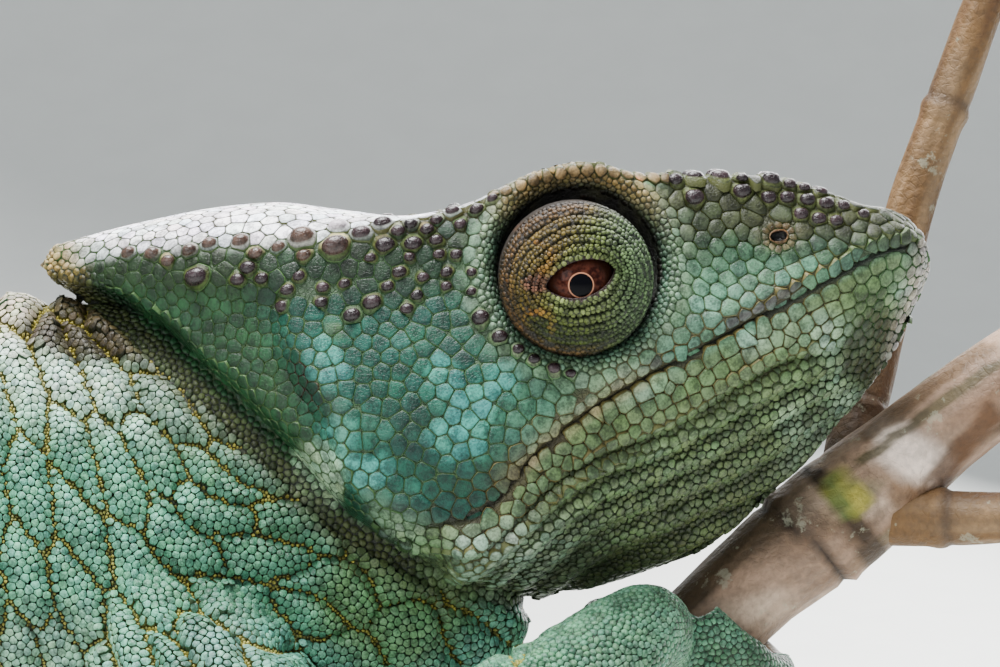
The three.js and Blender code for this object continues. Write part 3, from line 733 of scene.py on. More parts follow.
class Hide:
    """The smooth skin: its points, triangles and normals, and a tree to find the nearest place."""

    def __init__(self, mesh):
        self.points, self.tris = mesh_points(mesh), mesh_triangles(mesh)
        self.normals = vertex_normals(self.points, self.tris)
        self.tree = BVHTree.FromPolygons(self.points.tolist(), self.tris.tolist(), all_triangles=True)

    def settle(self, points):
        """Moves points to the nearest place on the skin; gives places and smooth normals."""
        found = [self.tree.find_nearest(p) for p in points.tolist()]
        place = np.array([f[0] for f in found])
        tri = self.tris[[f[2] for f in found]]
        a, b, c = (self.points[tri[:, k]] for k in range(3))
        ab, ac, ap = b - a, c - a, place - a
        d00, d01, d11 = (np.einsum("ij,ij->i", m, n) for m, n in ((ab, ab), (ab, ac), (ac, ac)))
        d20, d21 = np.einsum("ij,ij->i", ap, ab), np.einsum("ij,ij->i", ap, ac)
        scale = np.maximum(d00 * d11 - d01 * d01, 1e-12)
        v = np.clip((d11 * d20 - d01 * d21) / scale, 0, 1)
        w = np.clip((d00 * d21 - d01 * d20) / scale, 0, 1)
        weights = np.stack([1 - v - w, v, w], -1).clip(0)
        return place, unit(np.einsum("nk,nkc->nc", weights, self.normals[tri]))

    def scattered(self, size_at):
        """Seeds spread so that each has the room of one scale of the size wanted there."""
        a, b, c = (self.points[self.tris[:, k]] for k in range(3))
        area = np.linalg.norm(np.cross(b - a, c - a), axis=1) / 2
        middle = (a + b + c) / 3
        total = np.cumsum(area / (0.86 * size_at(middle) ** 2))
        rng = np.random.default_rng(SEED + 1)
        marks = np.arange(0.5, total[-1]) + rng.uniform(-0.45, 0.45, int(np.ceil(total[-1] - 0.5)))
        tri = np.clip(np.searchsorted(total, marks), 0, len(total) - 1)
        s, t = rng.random(len(tri)), rng.random(len(tri))
        over = s + t > 1
        s, t = np.where(over, 1 - s, s), np.where(over, 1 - t, t)
        return a[tri] + s[:, None] * (b - a)[tri] + t[:, None] * (c - a)[tri]


def tree_of(points):
    """A tree that finds the points nearest to a place."""
    tree = KDTree(len(points))
    for i, p in enumerate(points.tolist()):
        tree.insert(p, i)
    tree.balance()
    return tree


def neighbours(points, count):
    """Indices of the nearest count points to every point, itself left out."""
    tree = tree_of(points)
    return np.array([[f[1] for f in tree.find_n(p, count + 1)[1:]] for p in points.tolist()])


def relaxed(hide, points, own, size_at, rounds):
    """Seeds pushed apart until each has its room: every near pair closer than the mean of their
    sizes moves apart along the skin. The first seeds, whose own sizes are given, stay."""
    points, normals = hide.settle(points)
    for turn in range(rounds):
        if turn % 3 == 0:
            near = neighbours(points, 8)
        size = size_at(points)
        size[: len(own)] = own
        away = points[:, None] - points[near]
        gap = np.linalg.norm(away, axis=-1)
        room = 1.04 * (size[:, None] + size[near]) / 2
        push = (np.clip(room - gap, 0, None) / np.maximum(gap, 1e-6))[..., None] * away
        move = 0.3 * push.sum(axis=1)
        length = np.linalg.norm(move, axis=1, keepdims=True)
        move *= np.minimum(1, 0.35 * size[:, None] / np.maximum(length, 1e-9))
        move -= normals * np.einsum("ij,ij->i", move, normals)[:, None]
        move[: len(own)] = 0
        points, normals = hide.settle(points + move)
    return points, normals


# ---- Scales -----------------------------------------------------------------------------------
BAKE_PATCH = 0.003  # width of a scale's patch on the OFBake map
MOUTH_GAP = 0.13
KINDS = ("fine", "boss", "pit", "middling", "plain", "grain", "gap")
RINGS = {  # share of the way out, and height as a share of a flat scale's and of a domed one's
    "fine": ((0.985, 0.7, 0.42), (0.9, 0.95, 0.68), (0.5, 1.0, 0.95)),
    "boss": ((0.97, 0.2, 0.2), (0.76, 0.3, 0.3), (0.7, 0.5, 0.5), (0.56, 0.8, 0.8), (0.3, 0.96, 0.96)),
    "pit": ((0.97, 0.5, 0.5), (0.88, 0.9, 0.9), (0.78, 1.0, 1.0), (0.7, 0.5, 0.5), (0.5, 0.1, 0.1)),
    "middling": ((0.985, 0.65, 0.45), (0.86, 0.97, 0.78)),
    "plain": ((0.86, 0.88, 0.72),),
    "grain": ((0.78, 0.8, 0.7),),
}
SIDES = {"fine": 14, "boss": 16, "pit": 16, "middling": 10, "plain": 8, "grain": 6}
BOSS_WAY = np.array([0.97, 0.0, 0.24])  # the way that raised scales are drawn out


def tangents(normals):
    """Two directions across each normal."""
    pick = np.where(np.abs(normals[:, 2:3]) < 0.9, [[0.0, 0.0, 1.0]], [[1.0, 0.0, 0.0]])
    first = unit(np.cross(pick, normals))
    return first, np.cross(normals, first)


def raised(kind):
    return (kind == KINDS.index("boss")) | (kind == KINDS.index("pit"))


def scale_cells(seeds, pick, sides):
    """Outline of each picked scale: along each direction, out to the nearest wall between it and a
    neighbour, where a wall divides their distance as their sizes do. Also how the skin bends."""
    near = seeds["near"][pick]
    normals, size, groove = seeds["normals"][pick], seeds["size"][pick], seeds["groove"][pick]
    across, along = seeds["across"][pick], np.cross(normals, seeds["across"][pick])
    rel = seeds["points"][near] - seeds["points"][pick][:, None]
    x, y = np.einsum("nkc,nc->nk", rel, across), np.einsum("nkc,nc->nk", rel, along)
    alike = np.einsum("nkc,nc->nk", seeds["normals"][near], normals) > 0.25
    gap = np.maximum(np.linalg.norm(rel, axis=-1), 1e-6)
    wall = (gap**2 + (size[:, None] / 2) ** 2 - (seeds["size"][near] / 2) ** 2) / (2 * gap)
    wall = np.clip(wall, 0.3 * gap, 0.7 * gap) - groove[:, None]
    wall = np.where(seeds["kind"][near] == KINDS.index("gap"), gap - MOUTH_GAP, wall)
    angle = 2 * np.pi * np.arange(sides) / sides
    facing = np.cos(angle[None, None] - np.arctan2(y, x)[..., None])
    open_way = (facing > 0.12) & alike[..., None]
    reach = np.where(open_way, wall[..., None] / np.maximum(facing, 0.12), 1e9).min(axis=1)
    most = np.where(seeds["dome"][pick] > 0.85, 0.54, 0.74)
    most = np.where(raised(seeds["kind"][pick]), 0.66, most)
    reach = np.clip(reach, 0.12 * size[:, None], (most * size)[:, None])
    bend = seeds["normals"][near] - normals[:, None]
    w = alike * np.exp(-((gap / (1.6 * size[:, None])) ** 2))
    sxx, sxy, syy = (w * x * x).sum(1) + 1e-3, (w * x * y).sum(1), (w * y * y).sum(1) + 1e-3
    det = np.maximum(sxx * syy - sxy**2, 1e-9)
    fits = []
    for side in (across, along):
        b = np.einsum("nkc,nc->nk", bend, side)
        tx, ty = (w * b * x).sum(1), (w * b * y).sum(1)
        fits.append(((syy * tx - sxy * ty) / det, (sxx * ty - sxy * tx) / det))
    twist = (fits[0][1] + fits[1][0]) / 2
    bends = (fits[0][0], -0.5), (twist, -1.5), (fits[1][1], -0.5)
    return across, along, angle, reach, [np.clip(k, low / size, 1.5 / size) for k, low in bends]


def scale_shell(seeds, pick, kind):
    """The picked scales as points, faces and values. Each is a plate with a steep rim and a flat or
    domed top: rings that shrink from its outline to its middle and follow the bend of the skin."""
    sides = SIDES[kind]
    across, along, angle, reach, (kxx, kxy, kyy) = scale_cells(seeds, pick, sides)
    height, dome, normals = (seeds[key][pick] for key in ("height", "dome", "normals"))
    slope, sink = seeds["slope"][pick], seeds["sink"][pick]
    root = seeds["points"][pick] + seeds["lift"][pick][:, None] * normals
    cos, sin = np.cos(angle)[None], np.sin(angle)[None]
    rings = [(1.03, None, None), *RINGS[kind], (0.0, *(2 * [0.08 if kind == "pit" else 1.0]))]
    verts, rim, spokes = [], [], []
    way = np.arctan2(along @ BOSS_WAY, across @ BOSS_WAY)[:, None]
    draw = 0.62 if kind == "pit" else 0.34
    even = reach.mean(axis=1, keepdims=True) * (1.01 - draw / 2 + draw * np.cos(angle[None] - way) ** 2)
    for share, flat, domed in rings:
        here = slice(None) if share else slice(0, 1)
        spread = (reach + (even - reach) * (0.75 if kind in ("boss", "pit") and share < 0.9 else 0)) * share
        x, y = (spread * cos)[:, here], (spread * sin)[:, here]
        rise = -sink if flat is None else height * (flat * (1 - dome) + domed * dome)
        z = rise[:, None] + slope[:, :1] * x + slope[:, 1:] * y
        z = z - 0.5 * (kxx[:, None] * x * x + 2 * kxy[:, None] * x * y + kyy[:, None] * y * y)
        verts.append(
            root[:, None] + x[..., None] * across[:, None] + y[..., None] * along[:, None]
            + z[..., None] * normals[:, None]
        )
        rim.append(np.full(x.shape, min(share, 1.0)))
        spokes.append(np.stack([cos[:, here], sin[:, here]], -1).repeat(len(pick), axis=0))
    verts, rim, spokes = (np.concatenate(m, axis=1) for m in (verts, rim, spokes))
    each = verts.shape[1]
    first = (np.arange(len(pick)) * each)[:, None, None]
    last = each - 1 - sides + np.arange(sides)
    follow = each - 1 - sides + (np.arange(sides) + 1) % sides
    tris = np.stack([last, follow, np.full(sides, each - 1)], -1)[None] + first
    quads = grid_faces(len(rings) - 1, sides)[None] + first
    uv = seeds["root"][pick][:, None] + BAKE_PATCH / 2 * rim[..., None] * spokes
    shell = (m.reshape(-1, n) for m, n in ((verts, 3), (quads, 4), (tris, 3)))
    return *shell, rim.ravel(), uv.reshape(-1, 2), np.repeat(pick, each)


def add_values(mesh, name, values):
    """One value for each point."""
    layer = mesh.attributes.new(name, "FLOAT", "POINT")
    layer.data.foreach_set("value", np.asarray(values, np.float32).ravel())


def add_colours(mesh, name, colours):
    """One colour for each point."""
    layer = mesh.attributes.new(name, "FLOAT_COLOR", "POINT")
    rgba = np.concatenate([colours, np.ones((len(colours), 1))], axis=1)
    layer.data.foreach_set("color", rgba.astype(np.float32).ravel())


def add_uv(mesh, name, uv):
    """A UV map from one place per point."""
    layer = mesh.uv_layers.new(name=name)
    owner = np.empty(len(mesh.loops), np.int32)
    mesh.loops.foreach_get("vertex_index", owner)
    layer.uv.foreach_set("vector", np.asarray(uv, np.float32)[owner].ravel())


def scale_piece(name, seeds, pick, tint):
    """One coat piece from the picked seeds, its kinds of scale joined, with its colours, the share of
    the way to each scale's rim and how domed it is."""
    groups = [(kind, pick[seeds["kind"][pick] == KINDS.index(kind)]) for kind in RINGS]
    parts = [scale_shell(seeds, some, kind) for kind, some in groups if len(some)]
    points, quads, tris = joined([p[:3] for p in parts])
    rim, uv, owner = (np.concatenate([p[k] for p in parts]) for k in (3, 4, 5))
    mesh = mesh_from(name, points, quads, tris)
    pit = seeds["kind"][owner] == KINDS.index("pit")
    crown = (rim < np.where(pit, 0.72, 0.74)) & raised(seeds["kind"][owner])
    colour = seeds["colour"][owner]
    if name.startswith(("coat_head", "coat_throat")):
        colour = colour * (markings_and_painted_light(points) / markings_and_painted_light(seeds["points"])[owner]) ** 0.6
    colour = np.where(crown[:, None], seeds["crown"][owner], colour)
    add_colours(mesh, "hide", colour * tint)
    add_colours(mesh, "seam", seeds["seam"][owner] * tint)
    add_values(mesh, "rim", rim)
    add_values(mesh, "dome", np.where(crown & ~pit, 1.0, np.minimum(seeds["dome"][owner], 0.8)))
    add_uv(mesh, "OFBake", uv)
    return mesh


# ---- Markings, with painted light and shade ---------------------------------------------------
def paint(red, green, blue):
    """A colour given as it looks on a screen, 0 to 255, as the light it sends back."""
    c = np.array([red, green, blue]) / 255
    return np.where(c <= 0.04045, c / 12.92, ((c + 0.055) / 1.055) ** 2.4)


def blend(colour, other, share):
    share = np.clip(share, 0, 1)[..., None]
    return colour * (1 - share) + other * share


def painted(colour, layers):
    """A colour with others laid over it in turn: each as it looks on a screen, and where it shows."""
    for red, green, blue, share in layers:
        colour = blend(colour, paint(red, green, blue), share)
    return colour


def spot(x, z, middle, half):
    """1 inside a soft oval in side view, 0 outside."""
    return step(1.25, 0.75, np.hypot((x - middle[0]) / half[0], (z - middle[1]) / half[1]))


# Turquoise clouds of the cheek: middle and half size in side view.
CLOUDS = [
    ((-12.8, -8.4), (1.7, 2.4)), ((-10.4, -10.4), (2.4, 1.4)), ((-3.6, -8.0), (2.2, 1.9)),
    ((-2.0, -5.4), (1.9, 2.2)), ((-4.4, -3.0), (1.1, 1.6)), ((-14.0, -1.8), (1.6, 2.4)),
    ((0.2, -3.4), (1.4, 1.4)),
]
CREST_X = [p[0] for p in HEAD_CREST]
CREST_Z = [p[1] for p in HEAD_CREST]


def on_jaw(x, z):
    return step(0.2, 1.0, under_lip(x, z)) * step(-9, -4, x)


def above_crease(x, z):
    """How far above the crease between head and neck a place lies in side view."""
    return z - np.interp(x, [*CREASE_X, 6], [*CREASE_Z, -21.4])


def limb_shares(p):
    """For each limb, 1 on the limb, falling to 0 on the trunk beside it."""
    shares = []
    for limb in LIMBS.values():
        line, radius, grip = limb_line(limb)
        t = np.linspace(0.3, 1, 24)
        away = np.linalg.norm(p[..., None, :] - line(t), axis=-1) - radius(t) - 1.0
        hand = np.linalg.norm(p - grip["at"], axis=-1) - grip["radius"] - 6.5
        shares.append(step(1.4, -0.2, np.minimum(away.min(axis=-1), hand)))
    return np.stack(shares)


def markings_and_painted_light(p):
    """The animal's colour at any place, the same for skin and scales and on both sides: greens laid
    over each other by region, with turquoise clouds on the cheek and darker and paler mottling, and
    painted light and shade: pale highlights on the casque's top and the upper neck, and painted
    shadow and shade under the flap, on undersides and in the eye's socket."""
    q = mirrored(p)
    x, y, z = q[..., 0], q[..., 1], q[..., 2]
    cloud, mottle, speck = noise(q, 9, 11), noise(q, 3.2, 12), noise(q, 1.3, 13)
    colour = np.broadcast_to(paint(84, 142, 116), p.shape).copy()
    colour = painted(colour, [
        (106, 164, 152, step(0.1, 0.7, cloud) * 0.5),
        # painted shade: darker green towards the bottom, where the undersides get less of the top light
        (62, 110, 78, step(-14, -34, z) * 0.7),
        # painted light: the upper neck and shoulder made pale where the top light falls brightest
        (204, 226, 208, step(-10, 0, z + 0.12 * (x + 36)) * step(-75, -30, x) * 0.9),
        (128, 162, 140, step(-19, -24, z) * step(-27, -33, x) * 0.6),
    ])
    # painted shadow: the neck darkened along the flap's lower edge, which overhangs it
    flap_shadow_distance = line_distance(x, z, [[-32, 0], [-24, -8], [-17, -15]])[0]
    colour = painted(colour, [
        (58, 88, 60, bump(flap_shadow_distance, 0, 3.2) * 0.65),
        (222, 210, 184, step(-2.5, 1.5, z) * step(-70, -44, x) * 0.85),
        (34, 22, 2, spot(x, z, (-32, 0.4), (6.4, 2.8)) * 0.95),
        (108, 122, 118, 0.3 * spot(x, z, (-22, -25), (3, 4))),
        (56, 98, 74, spot(x, z, (-19, -18), (9, 5)) * 0.6),
        (86, 118, 74, spot(x, z, (-8.5, -21), (6, 5)) * 0.8),
    ])
    crease = above_crease(x, z)
    # painted shadow: dark olive brown on the neck just below the crease under the flap
    colour = blend(colour, paint(64, 56, 28), step(-2.6, -0.4, crease) * step(2, -6, x) * 0.65)
    far = step(-48, -74, x)
    band = 0.5 + 0.5 * np.sin((x + 0.55 * z + 2.5 * cloud) / 5.2)
    plain = blend(np.broadcast_to(paint(82, 132, 104), p.shape), paint(128, 162, 108), band * 0.8)
    colour = blend(colour, plain, far)
    high = step(-2, 6, z - np.interp(x, [-160, -64], [-36, 0]))
    colour = blend(colour, paint(142, 164, 128), far * high * 0.6)
    colour = blend(colour, paint(80, 118, 94), step(-160, -172, x) * 0.6)
    limbs = limb_shares(p).max(axis=0)
    colour = painted(colour, [
        (84, 122, 94, limbs * 0.7),
        (44, 72, 48, limbs * step(0.0, 0.6, -mottle) * 0.5),
        (120, 156, 128, limbs * step(0.1, 0.7, cloud) * 0.4),
    ])
    # head
    face = np.broadcast_to(paint(74, 112, 88), p.shape)
    face = painted(face, [
        (15, 62, 50, step(7, -3, x)),
        (6, 32, 28, step(0.0, 0.5, noise(q, 3.6, 15)) * step(4, -3, x) * 0.75),
        (52, 108, 88, step(0.1, 0.6, noise(q, 2.4, 17)) * step(3, -4, x) * 0.35),
    ])
    warped = x + 0.9 * mottle, z + 0.9 * speck
    for middle, half in CLOUDS:
        face = blend(face, paint(74, 162, 148), spot(*warped, middle, half) * 0.42)
    face = blend(face, paint(26, 56, 26), step(-13, -18, x + 0.45 * (z + 4)) * 0.85)
    rolled = line_distance(x, z, FLAP_EDGE[3:])[0]
    face = painted(face, [
        (132, 160, 128, bump(rolled, 0, 1.3) * step(-12.5, -10, x + 0.4 * (z + 10)) * 0.6),
        (132, 158, 128, spot(x, z, (-14.4, -11.2), (2.2, 3.0)) * 0.8),
        (24, 34, 14, step(1.0, 4.6, z + 0.04 * x) * step(7, -7, x) * 0.8),
        (84, 124, 100, spot(x, z, (17, 1.8), (12, 3.4)) * 0.6),
    ])
    between = step(0.5, 2.0, crest_width(x) - y) * step(8.5, 9.2, z)
    brown = step(5.0, 8.5, z) * np.maximum(step(10, 14, x), step(-2, 3, x) * between)
    face = blend(face, paint(42, 32, 10), brown * 0.85)
    face = blend(face, paint(58, 88, 66), spot(x, z, (17.5, 5.2), (5, 2.6)) * 0.5)
    away, high = socket_share(p)
    face = painted(face, [
        (102, 124, 98, bump(away, 1.16, 0.17) * 0.8),
        (118, 90, 46, step(0.3, 0.9, high) * bump(away, 1.1, 0.2) * 0.85),
        # painted shade: near black deep in the eye's socket
        (14, 8, 4, step(1.02, 0.92, away)),
    ])
    drop = under_lip(x, z)
    corner = spot(x, z, (6, -7), (11, 5))
    face = blend(face, paint(158, 132, 92), corner * bump(drop, 0.4, 1.8) * 0.55)
    scar = spot(x, z, (18, 1.4), (11, 5)) * step(-0.1, 0.3, mottle)
    face = blend(face, paint(70, 52, 62), bump(drop, -0.9, 0.8) * scar * 0.8)
    jaw = on_jaw(x, z)
    face = painted(face, [
        (84, 104, 66, jaw),
        (126, 156, 138, jaw * step(-0.1, 0.6, cloud + 0.5 * mottle) * 0.6),
        (150, 168, 150, jaw * bump(np.hypot(x - 2, (z + 17) / 0.6), 0, 4.5) * 0.6),
        # painted shade: darker olive far below the mouth, on the jaw's underside
        (52, 60, 28, jaw * step(7, 15, drop) * 0.8),
        (30, 34, 10, spot(x, z, (30, -1.5), (3, 3.4)) * 0.85),
    ])
    away, share = gular_furrow(x, z)
    face = blend(face, paint(40, 44, 22), jaw * share * bump(away, 0, 0.35) * 0.6)
    face = blend(face, paint(176, 166, 160), step(31.6, 34.2, x + 0.25 * (5 - z)) * 0.8)
    rim = np.hypot((x - NOSTRIL[0]) / 1.1, (z - NOSTRIL[1]) / 0.8)
    face = blend(face, paint(140, 118, 84), bump(rim, 0.9, 0.6) * step(0.3, -0.3, z - NOSTRIL[1]) * 0.5)
    face = blend(face, paint(64, 46, 22), bump(rim, 0.8, 0.8) * step(0.0, 0.6, z - NOSTRIL[1]) * 0.8)
    ridge = np.interp(x, CREST_X, CREST_Z)
    top = step(-0.9, 0.3, z - ridge) * step(2, -5, x)
    inner = step(0, 1.6, crest_width(x) - y) * step(2, -5, x)
    face = painted(face, [
        # painted highlight: the casque's top and the crown between its crests painted near white, where the
        # top light falls brightest
        (250, 250, 255, np.maximum(top * 0.5, inner * step(-2.5, -0.5, z - ridge)) * 0.95),
        (140, 118, 56, step(-32.0, -35.2, x) * 0.9),
        (96, 92, 44, spot(x, z, (-13, 0.5), (0.9, 0.7)) * 0.3),
    ])
    # painted shadow: dark olive on the flap's underside just above the crease
    beyond = step(2.6, 1.6, crease) * step(-4, -8, x)
    face = blend(face, paint(58, 62, 34), beyond * 0.8)
    colour = blend(colour, face, on_head(p))
    shade = 1 + 0.28 * mottle + 0.22 * speck
    return np.clip(colour * shade[..., None], 0.002, 1)


FURROW_COLOUR = paint(142, 132, 52)
TUBERCLE_COLOUR = paint(35, 23, 26)


def seams_and_painted_shade(p):
    """Colour of the skin that shows between scales: dark green on the body, paler green on the head,
    tan beside the mouth and olive furrows on the neck, with painted shadow beside the crease under the
    flap and painted shade on the jaw's underside, in the mouth's slit and in the socket."""
    q = mirrored(p)
    x, z = q[..., 0], q[..., 2]
    colour = np.broadcast_to(paint(44, 70, 46), p.shape)
    colour = blend(colour, paint(26, 20, 6), spot(x, z, (-32, 0.4), (6.4, 2.8)) * 0.9)
    furrows = furrow_strength(p) * step(0.9, 0.2, furrow_distance(p))
    colour = blend(colour, FURROW_COLOUR * 0.35, furrows * 0.8)
    face = np.broadcast_to(paint(70, 104, 62), p.shape)
    face = blend(face, paint(62, 88, 44), step(-10, -16, x + 0.45 * (z + 4)) * 0.7)
    face = blend(face, paint(34, 58, 34), step(0.0, 0.5, noise(q, 5, 16)) * step(6, 0, x) * 0.7)
    drop = under_lip(x, z)
    lips = step(-4, -1.5, drop) * step(8, 3, drop) * step(-8, 0, x)
    face = painted(face, [
        (104, 84, 46, lips * step(31, 24, x) * 0.75),
        # painted shade: dark far below the mouth, on the jaw's underside
        (34, 36, 18, step(4, 8, drop) * step(-8, 0, x) * 0.85),
        (70, 60, 28, step(6.0, 9.0, z) * 0.75),
    ])
    scratch = line_distance(x, z, [[-16.2, -2.2], [-15.4, -3.4], [-15.1, -5.0]])[0]
    face = painted(face, [
        (58, 24, 18, step(1.0, 0.4, scratch)),
        # painted shadow: dark on the flap's underside just above the crease
        (22, 30, 16, step(3.4, 2.0, above_crease(x, z)) * step(-4, -8, x)),
        # painted shade: dark along the mouth's slit
        (26, 14, 8, bump(drop, 0, 0.35) * step(-7, -3, x)),
        # painted shade: near black deep in the eye's socket
        (14, 8, 4, step(1.04, 0.94, socket_share(p)[0])),
    ])
    return blend(colour, face, on_head(p))


# ---- Where the scales grow --------------------------------------------------------------------
# Raised dark scales of the casque, cheek and snout: [x, z, size across] in side view.
TUBERCLES = [
    [-29.4, 6.5, 1.3], [-27.5, 6.5, 1.2], [-26.2, 5.9, 1.2], [-24.5, 6.7, 1.4], [-22.9, 7.2, 1.4],
    [-20.4, 7.4, 1.6], [-23.9, 4.7, 2.1], [-19.2, 6.5, 1.3], [-19.8, 5.4, 1.4], [-20.6, 4.5, 1.3],
    [-18.7, 4.6, 1.1], [-17.4, 7.0, 1.3], [-15.5, 7.7, 2.3], [-15.4, 6.4, 1.3], [-12.7, 8.5, 1.7],
    [-12.9, 7.1, 2.3], [-10.9, 8.1, 1.5], [-9.2, 8.8, 1.5], [-9.0, 7.2, 1.5], [-8.0, 8.3, 1.2],
    [-7.0, 8.8, 1.2], [-6.8, 7.3, 1.5], [-5.7, 8.4, 1.3], [-5.0, 9.1, 1.2], [-5.0, 7.6, 1.2],
    [-3.7, 9.8, 1.2], [-3.1, 8.8, 1.2], [-1.8, 10.0, 1.2], [-0.5, 10.8, 1.2],
    [-15.8, 4.8, 1.0], [-16.7, 3.7, 1.0], [-17.1, 2.4, 1.2], [-13.9, 3.9, 0.9], [-14.0, 2.7, 1.1],
    [-12.2, 4.2, 0.9], [-11.6, 1.7, 1.5], [-10.0, 2.7, 1.6], [-8.8, 4.0, 1.0], [-7.9, 5.1, 1.2],
    [-6.5, 3.3, 1.0], [-6.0, 4.7, 1.0], [-7.3, 2.2, 1.2], [-10.2, 6.2, 1.0], [-7.1, 6.3, 1.0],
    [-4.8, 6.5, 1.0], [-3.4, 6.5, 1.0], [-4.2, 5.1, 1.0], [-4.2, 4.0, 1.0], [-2.2, 5.1, 0.9],
    [-2.2, 3.6, 0.9], [-1.5, 1.6, 1.6], [0, 0.1, 1.4], [1.4, -0.9, 1.2], [2.6, -1.7, 1.2],
    [4.2, -2.4, 1.2], [5.5, -2.8, 1.1],
    [13.8, 12.3, 1.2], [15.4, 12.4, 1.4], [17.4, 12.4, 1.6], [19.2, 12.5, 1.3], [21.4, 12.2, 1.7],
    [23.0, 12.1, 1.2], [24.2, 11.9, 1.1], [25.6, 11.6, 1.1], [15.3, 10.9, 1.7], [19.1, 11.4, 1.7],
    [21.2, 10.9, 1.4], [22.7, 10.9, 1.3], [24.3, 10.7, 1.4], [25.8, 10.4, 1.4], [23.8, 9.6, 1.2],
    [25.2, 9.2, 1.3], [26.6, 9.0, 1.3], [27.2, 10.2, 1.2], [28.8, 9.5, 1.2],
]
BROW = {"start": -0.5, "stop": 13.6, "size": 1.05}
PIT_DOME = 0.97  # marks the nostrils' seeds
# Rows of lip scales: [how far below the mouth, size across, x where the row starts].
LIP_ROWS = [[-0.68, 1.2, -1], [0.9, 1.6, -3], [2.3, 1.35, -1], [3.5, 1.15, 4]]


def scale_size(p):
    """Size across of a plain scale at any place on the skin."""
    q = mirrored(p)
    x, y, z = q[..., 0], q[..., 1], q[..., 2]
    face = 1.5 - 0.36 * step(-15, -19, x + 0.45 * (z + 4))
    drop = under_lip(x, z)
    jaw = on_jaw(x, z)
    face = face + (1.35 - 0.5 * step(2, 10, drop) - face) * jaw
    face = face - 0.45 * step(-12, -16, z) * (1 - jaw)
    face = face - (face - 0.95) * step(9.2, 11.5, z) * step(14, 4, x)
    face = face - (face - 0.55) * step(1.3, 1.12, socket_share(p)[0])
    face = face - 0.5 * (face - 1.0) * step(28, 32, x)
    away, share = gular_furrow(x, z)
    face = face - (face - 0.55) * bump(away, 0, 0.4) * share * jaw
    face = face - (face - 0.65) * step(4.6, 2.6, above_crease(x, z)) * step(-3, -8, x)
    face = face - (face - 0.95) * bump(line_distance(x, z, FLAP_EDGE)[0], 0, 1.2)
    face = face - (face - 0.55) * np.maximum(step(33, 33.8, x), step(-35.0, -35.8, x))
    body = 0.76 + 0.89 * step(-40, -80, x)
    arms = limb_shares(p)
    body = body + (1.15 - body) * arms[1:].max(axis=0)
    body = body + (0.6 - body) * arms[0]
    tail = step(-156, -168, x)
    body = body - tail * (body - 0.75 - 0.055 * np.clip(y + 2, 0, 12))
    furrow = (furrow_strength(p) > 0.5) & (furrow_distance(p) < 0.2)
    body = np.where(furrow, np.where(p[..., 1] < 0, 0.33, 0.44), body)
    return np.where(on_head(p) > 0.5, face, body)


def lip_row(below, size, start):
    """Places one scale apart along the lip, on the head's surface that far below the mouth."""
    u = np.linspace(0.3, 0.985, 400)
    p = head_half(u, MOUTH_AT + np.sign(below) * np.linspace(0, 0.3, 90))
    steps = np.linalg.norm(np.diff(p, axis=1), axis=2)
    reach = np.concatenate([0 * u[:, None], np.cumsum(steps, axis=1)], axis=1)
    p = p[np.arange(len(u)), np.argmin(np.abs(reach - abs(below)), axis=1)]
    p = p[(p[:, 0] > start) & (p[:, 1] > 0.6 * size)]
    along = np.concatenate([[0], np.cumsum(np.linalg.norm(np.diff(p, axis=0), axis=1))])
    at = (np.arange(int(along[-1] / size)) + 0.5) * size
    return np.stack([np.interp(at, along, p[:, k]) for k in range(3)], -1)


def seen_from_side(hide, x, z):
    """The outermost place of the skin at (x, z) in side view, or the nearest where none lies there."""
    found = hide.tree.ray_cast(Vector((x, 60, z)), Vector((0, -1, 0)))[0]
    if found is None or found[1] < 0.8 * crest_width(np.array(x)):
        found = hide.tree.find_nearest(Vector((x, float(crest_width(np.array(x))), z)))[0]
    return list(found)


def chosen_seeds(hide):
    """Seeds whose place is set: tubercles, brow, lips and the mouth's gap, on both sides. Gives their
    places, sizes, how domed they are and whether they only keep a gap open."""
    places, sizes, domes, gaps = [], [], [], []

    def add(some, size, dome, gap=False):
        places.extend(some)
        sizes.extend(np.broadcast_to(size, len(some)))
        domes.extend([dome] * len(some))
        gaps.extend([gap] * len(some))

    spots = np.array(TUBERCLES)
    add([seen_from_side(hide, x, z) for x, z in spots[:, :2].tolist()], spots[:, 2] * 1.12, 1.0)
    add([seen_from_side(hide, *NOSTRIL)], 1.55, PIT_DOME)
    round_it = 2 * np.pi * np.arange(12) / 12
    rim = np.stack([NOSTRIL[0] + 1.12 * np.cos(round_it), NOSTRIL[1] + 0.92 * np.sin(round_it)], -1)
    add([seen_from_side(hide, x, z) for x, z in rim.tolist()], 0.55, 0.6)
    brow_x = np.arange(BROW["start"], BROW["stop"], BROW["size"])
    brow_z = value_over(HEAD_CREST)(brow_x)
    add([seen_from_side(hide, x, z - 0.3) for x, z in zip(brow_x, brow_z)], BROW["size"], 0.9)
    for below, size, start in LIP_ROWS:
        row = lip_row(below, size, start)
        taper = np.interp(row[:, 0], [start, 8, 26, 34], [0.9, 1, 1, 0.75])
        add(row.tolist(), size * taper, 0.45)
    add(lip_row(0, 0.42, -6).tolist(), 0.3, 0.0, gap=True)
    places, sizes, domes, gaps = (np.array(m) for m in (places, sizes, domes, gaps))
    both = np.concatenate([places * [1, -1, 1], places])
    return (both, *(np.tile(m, 2) for m in (sizes, domes, gaps)))


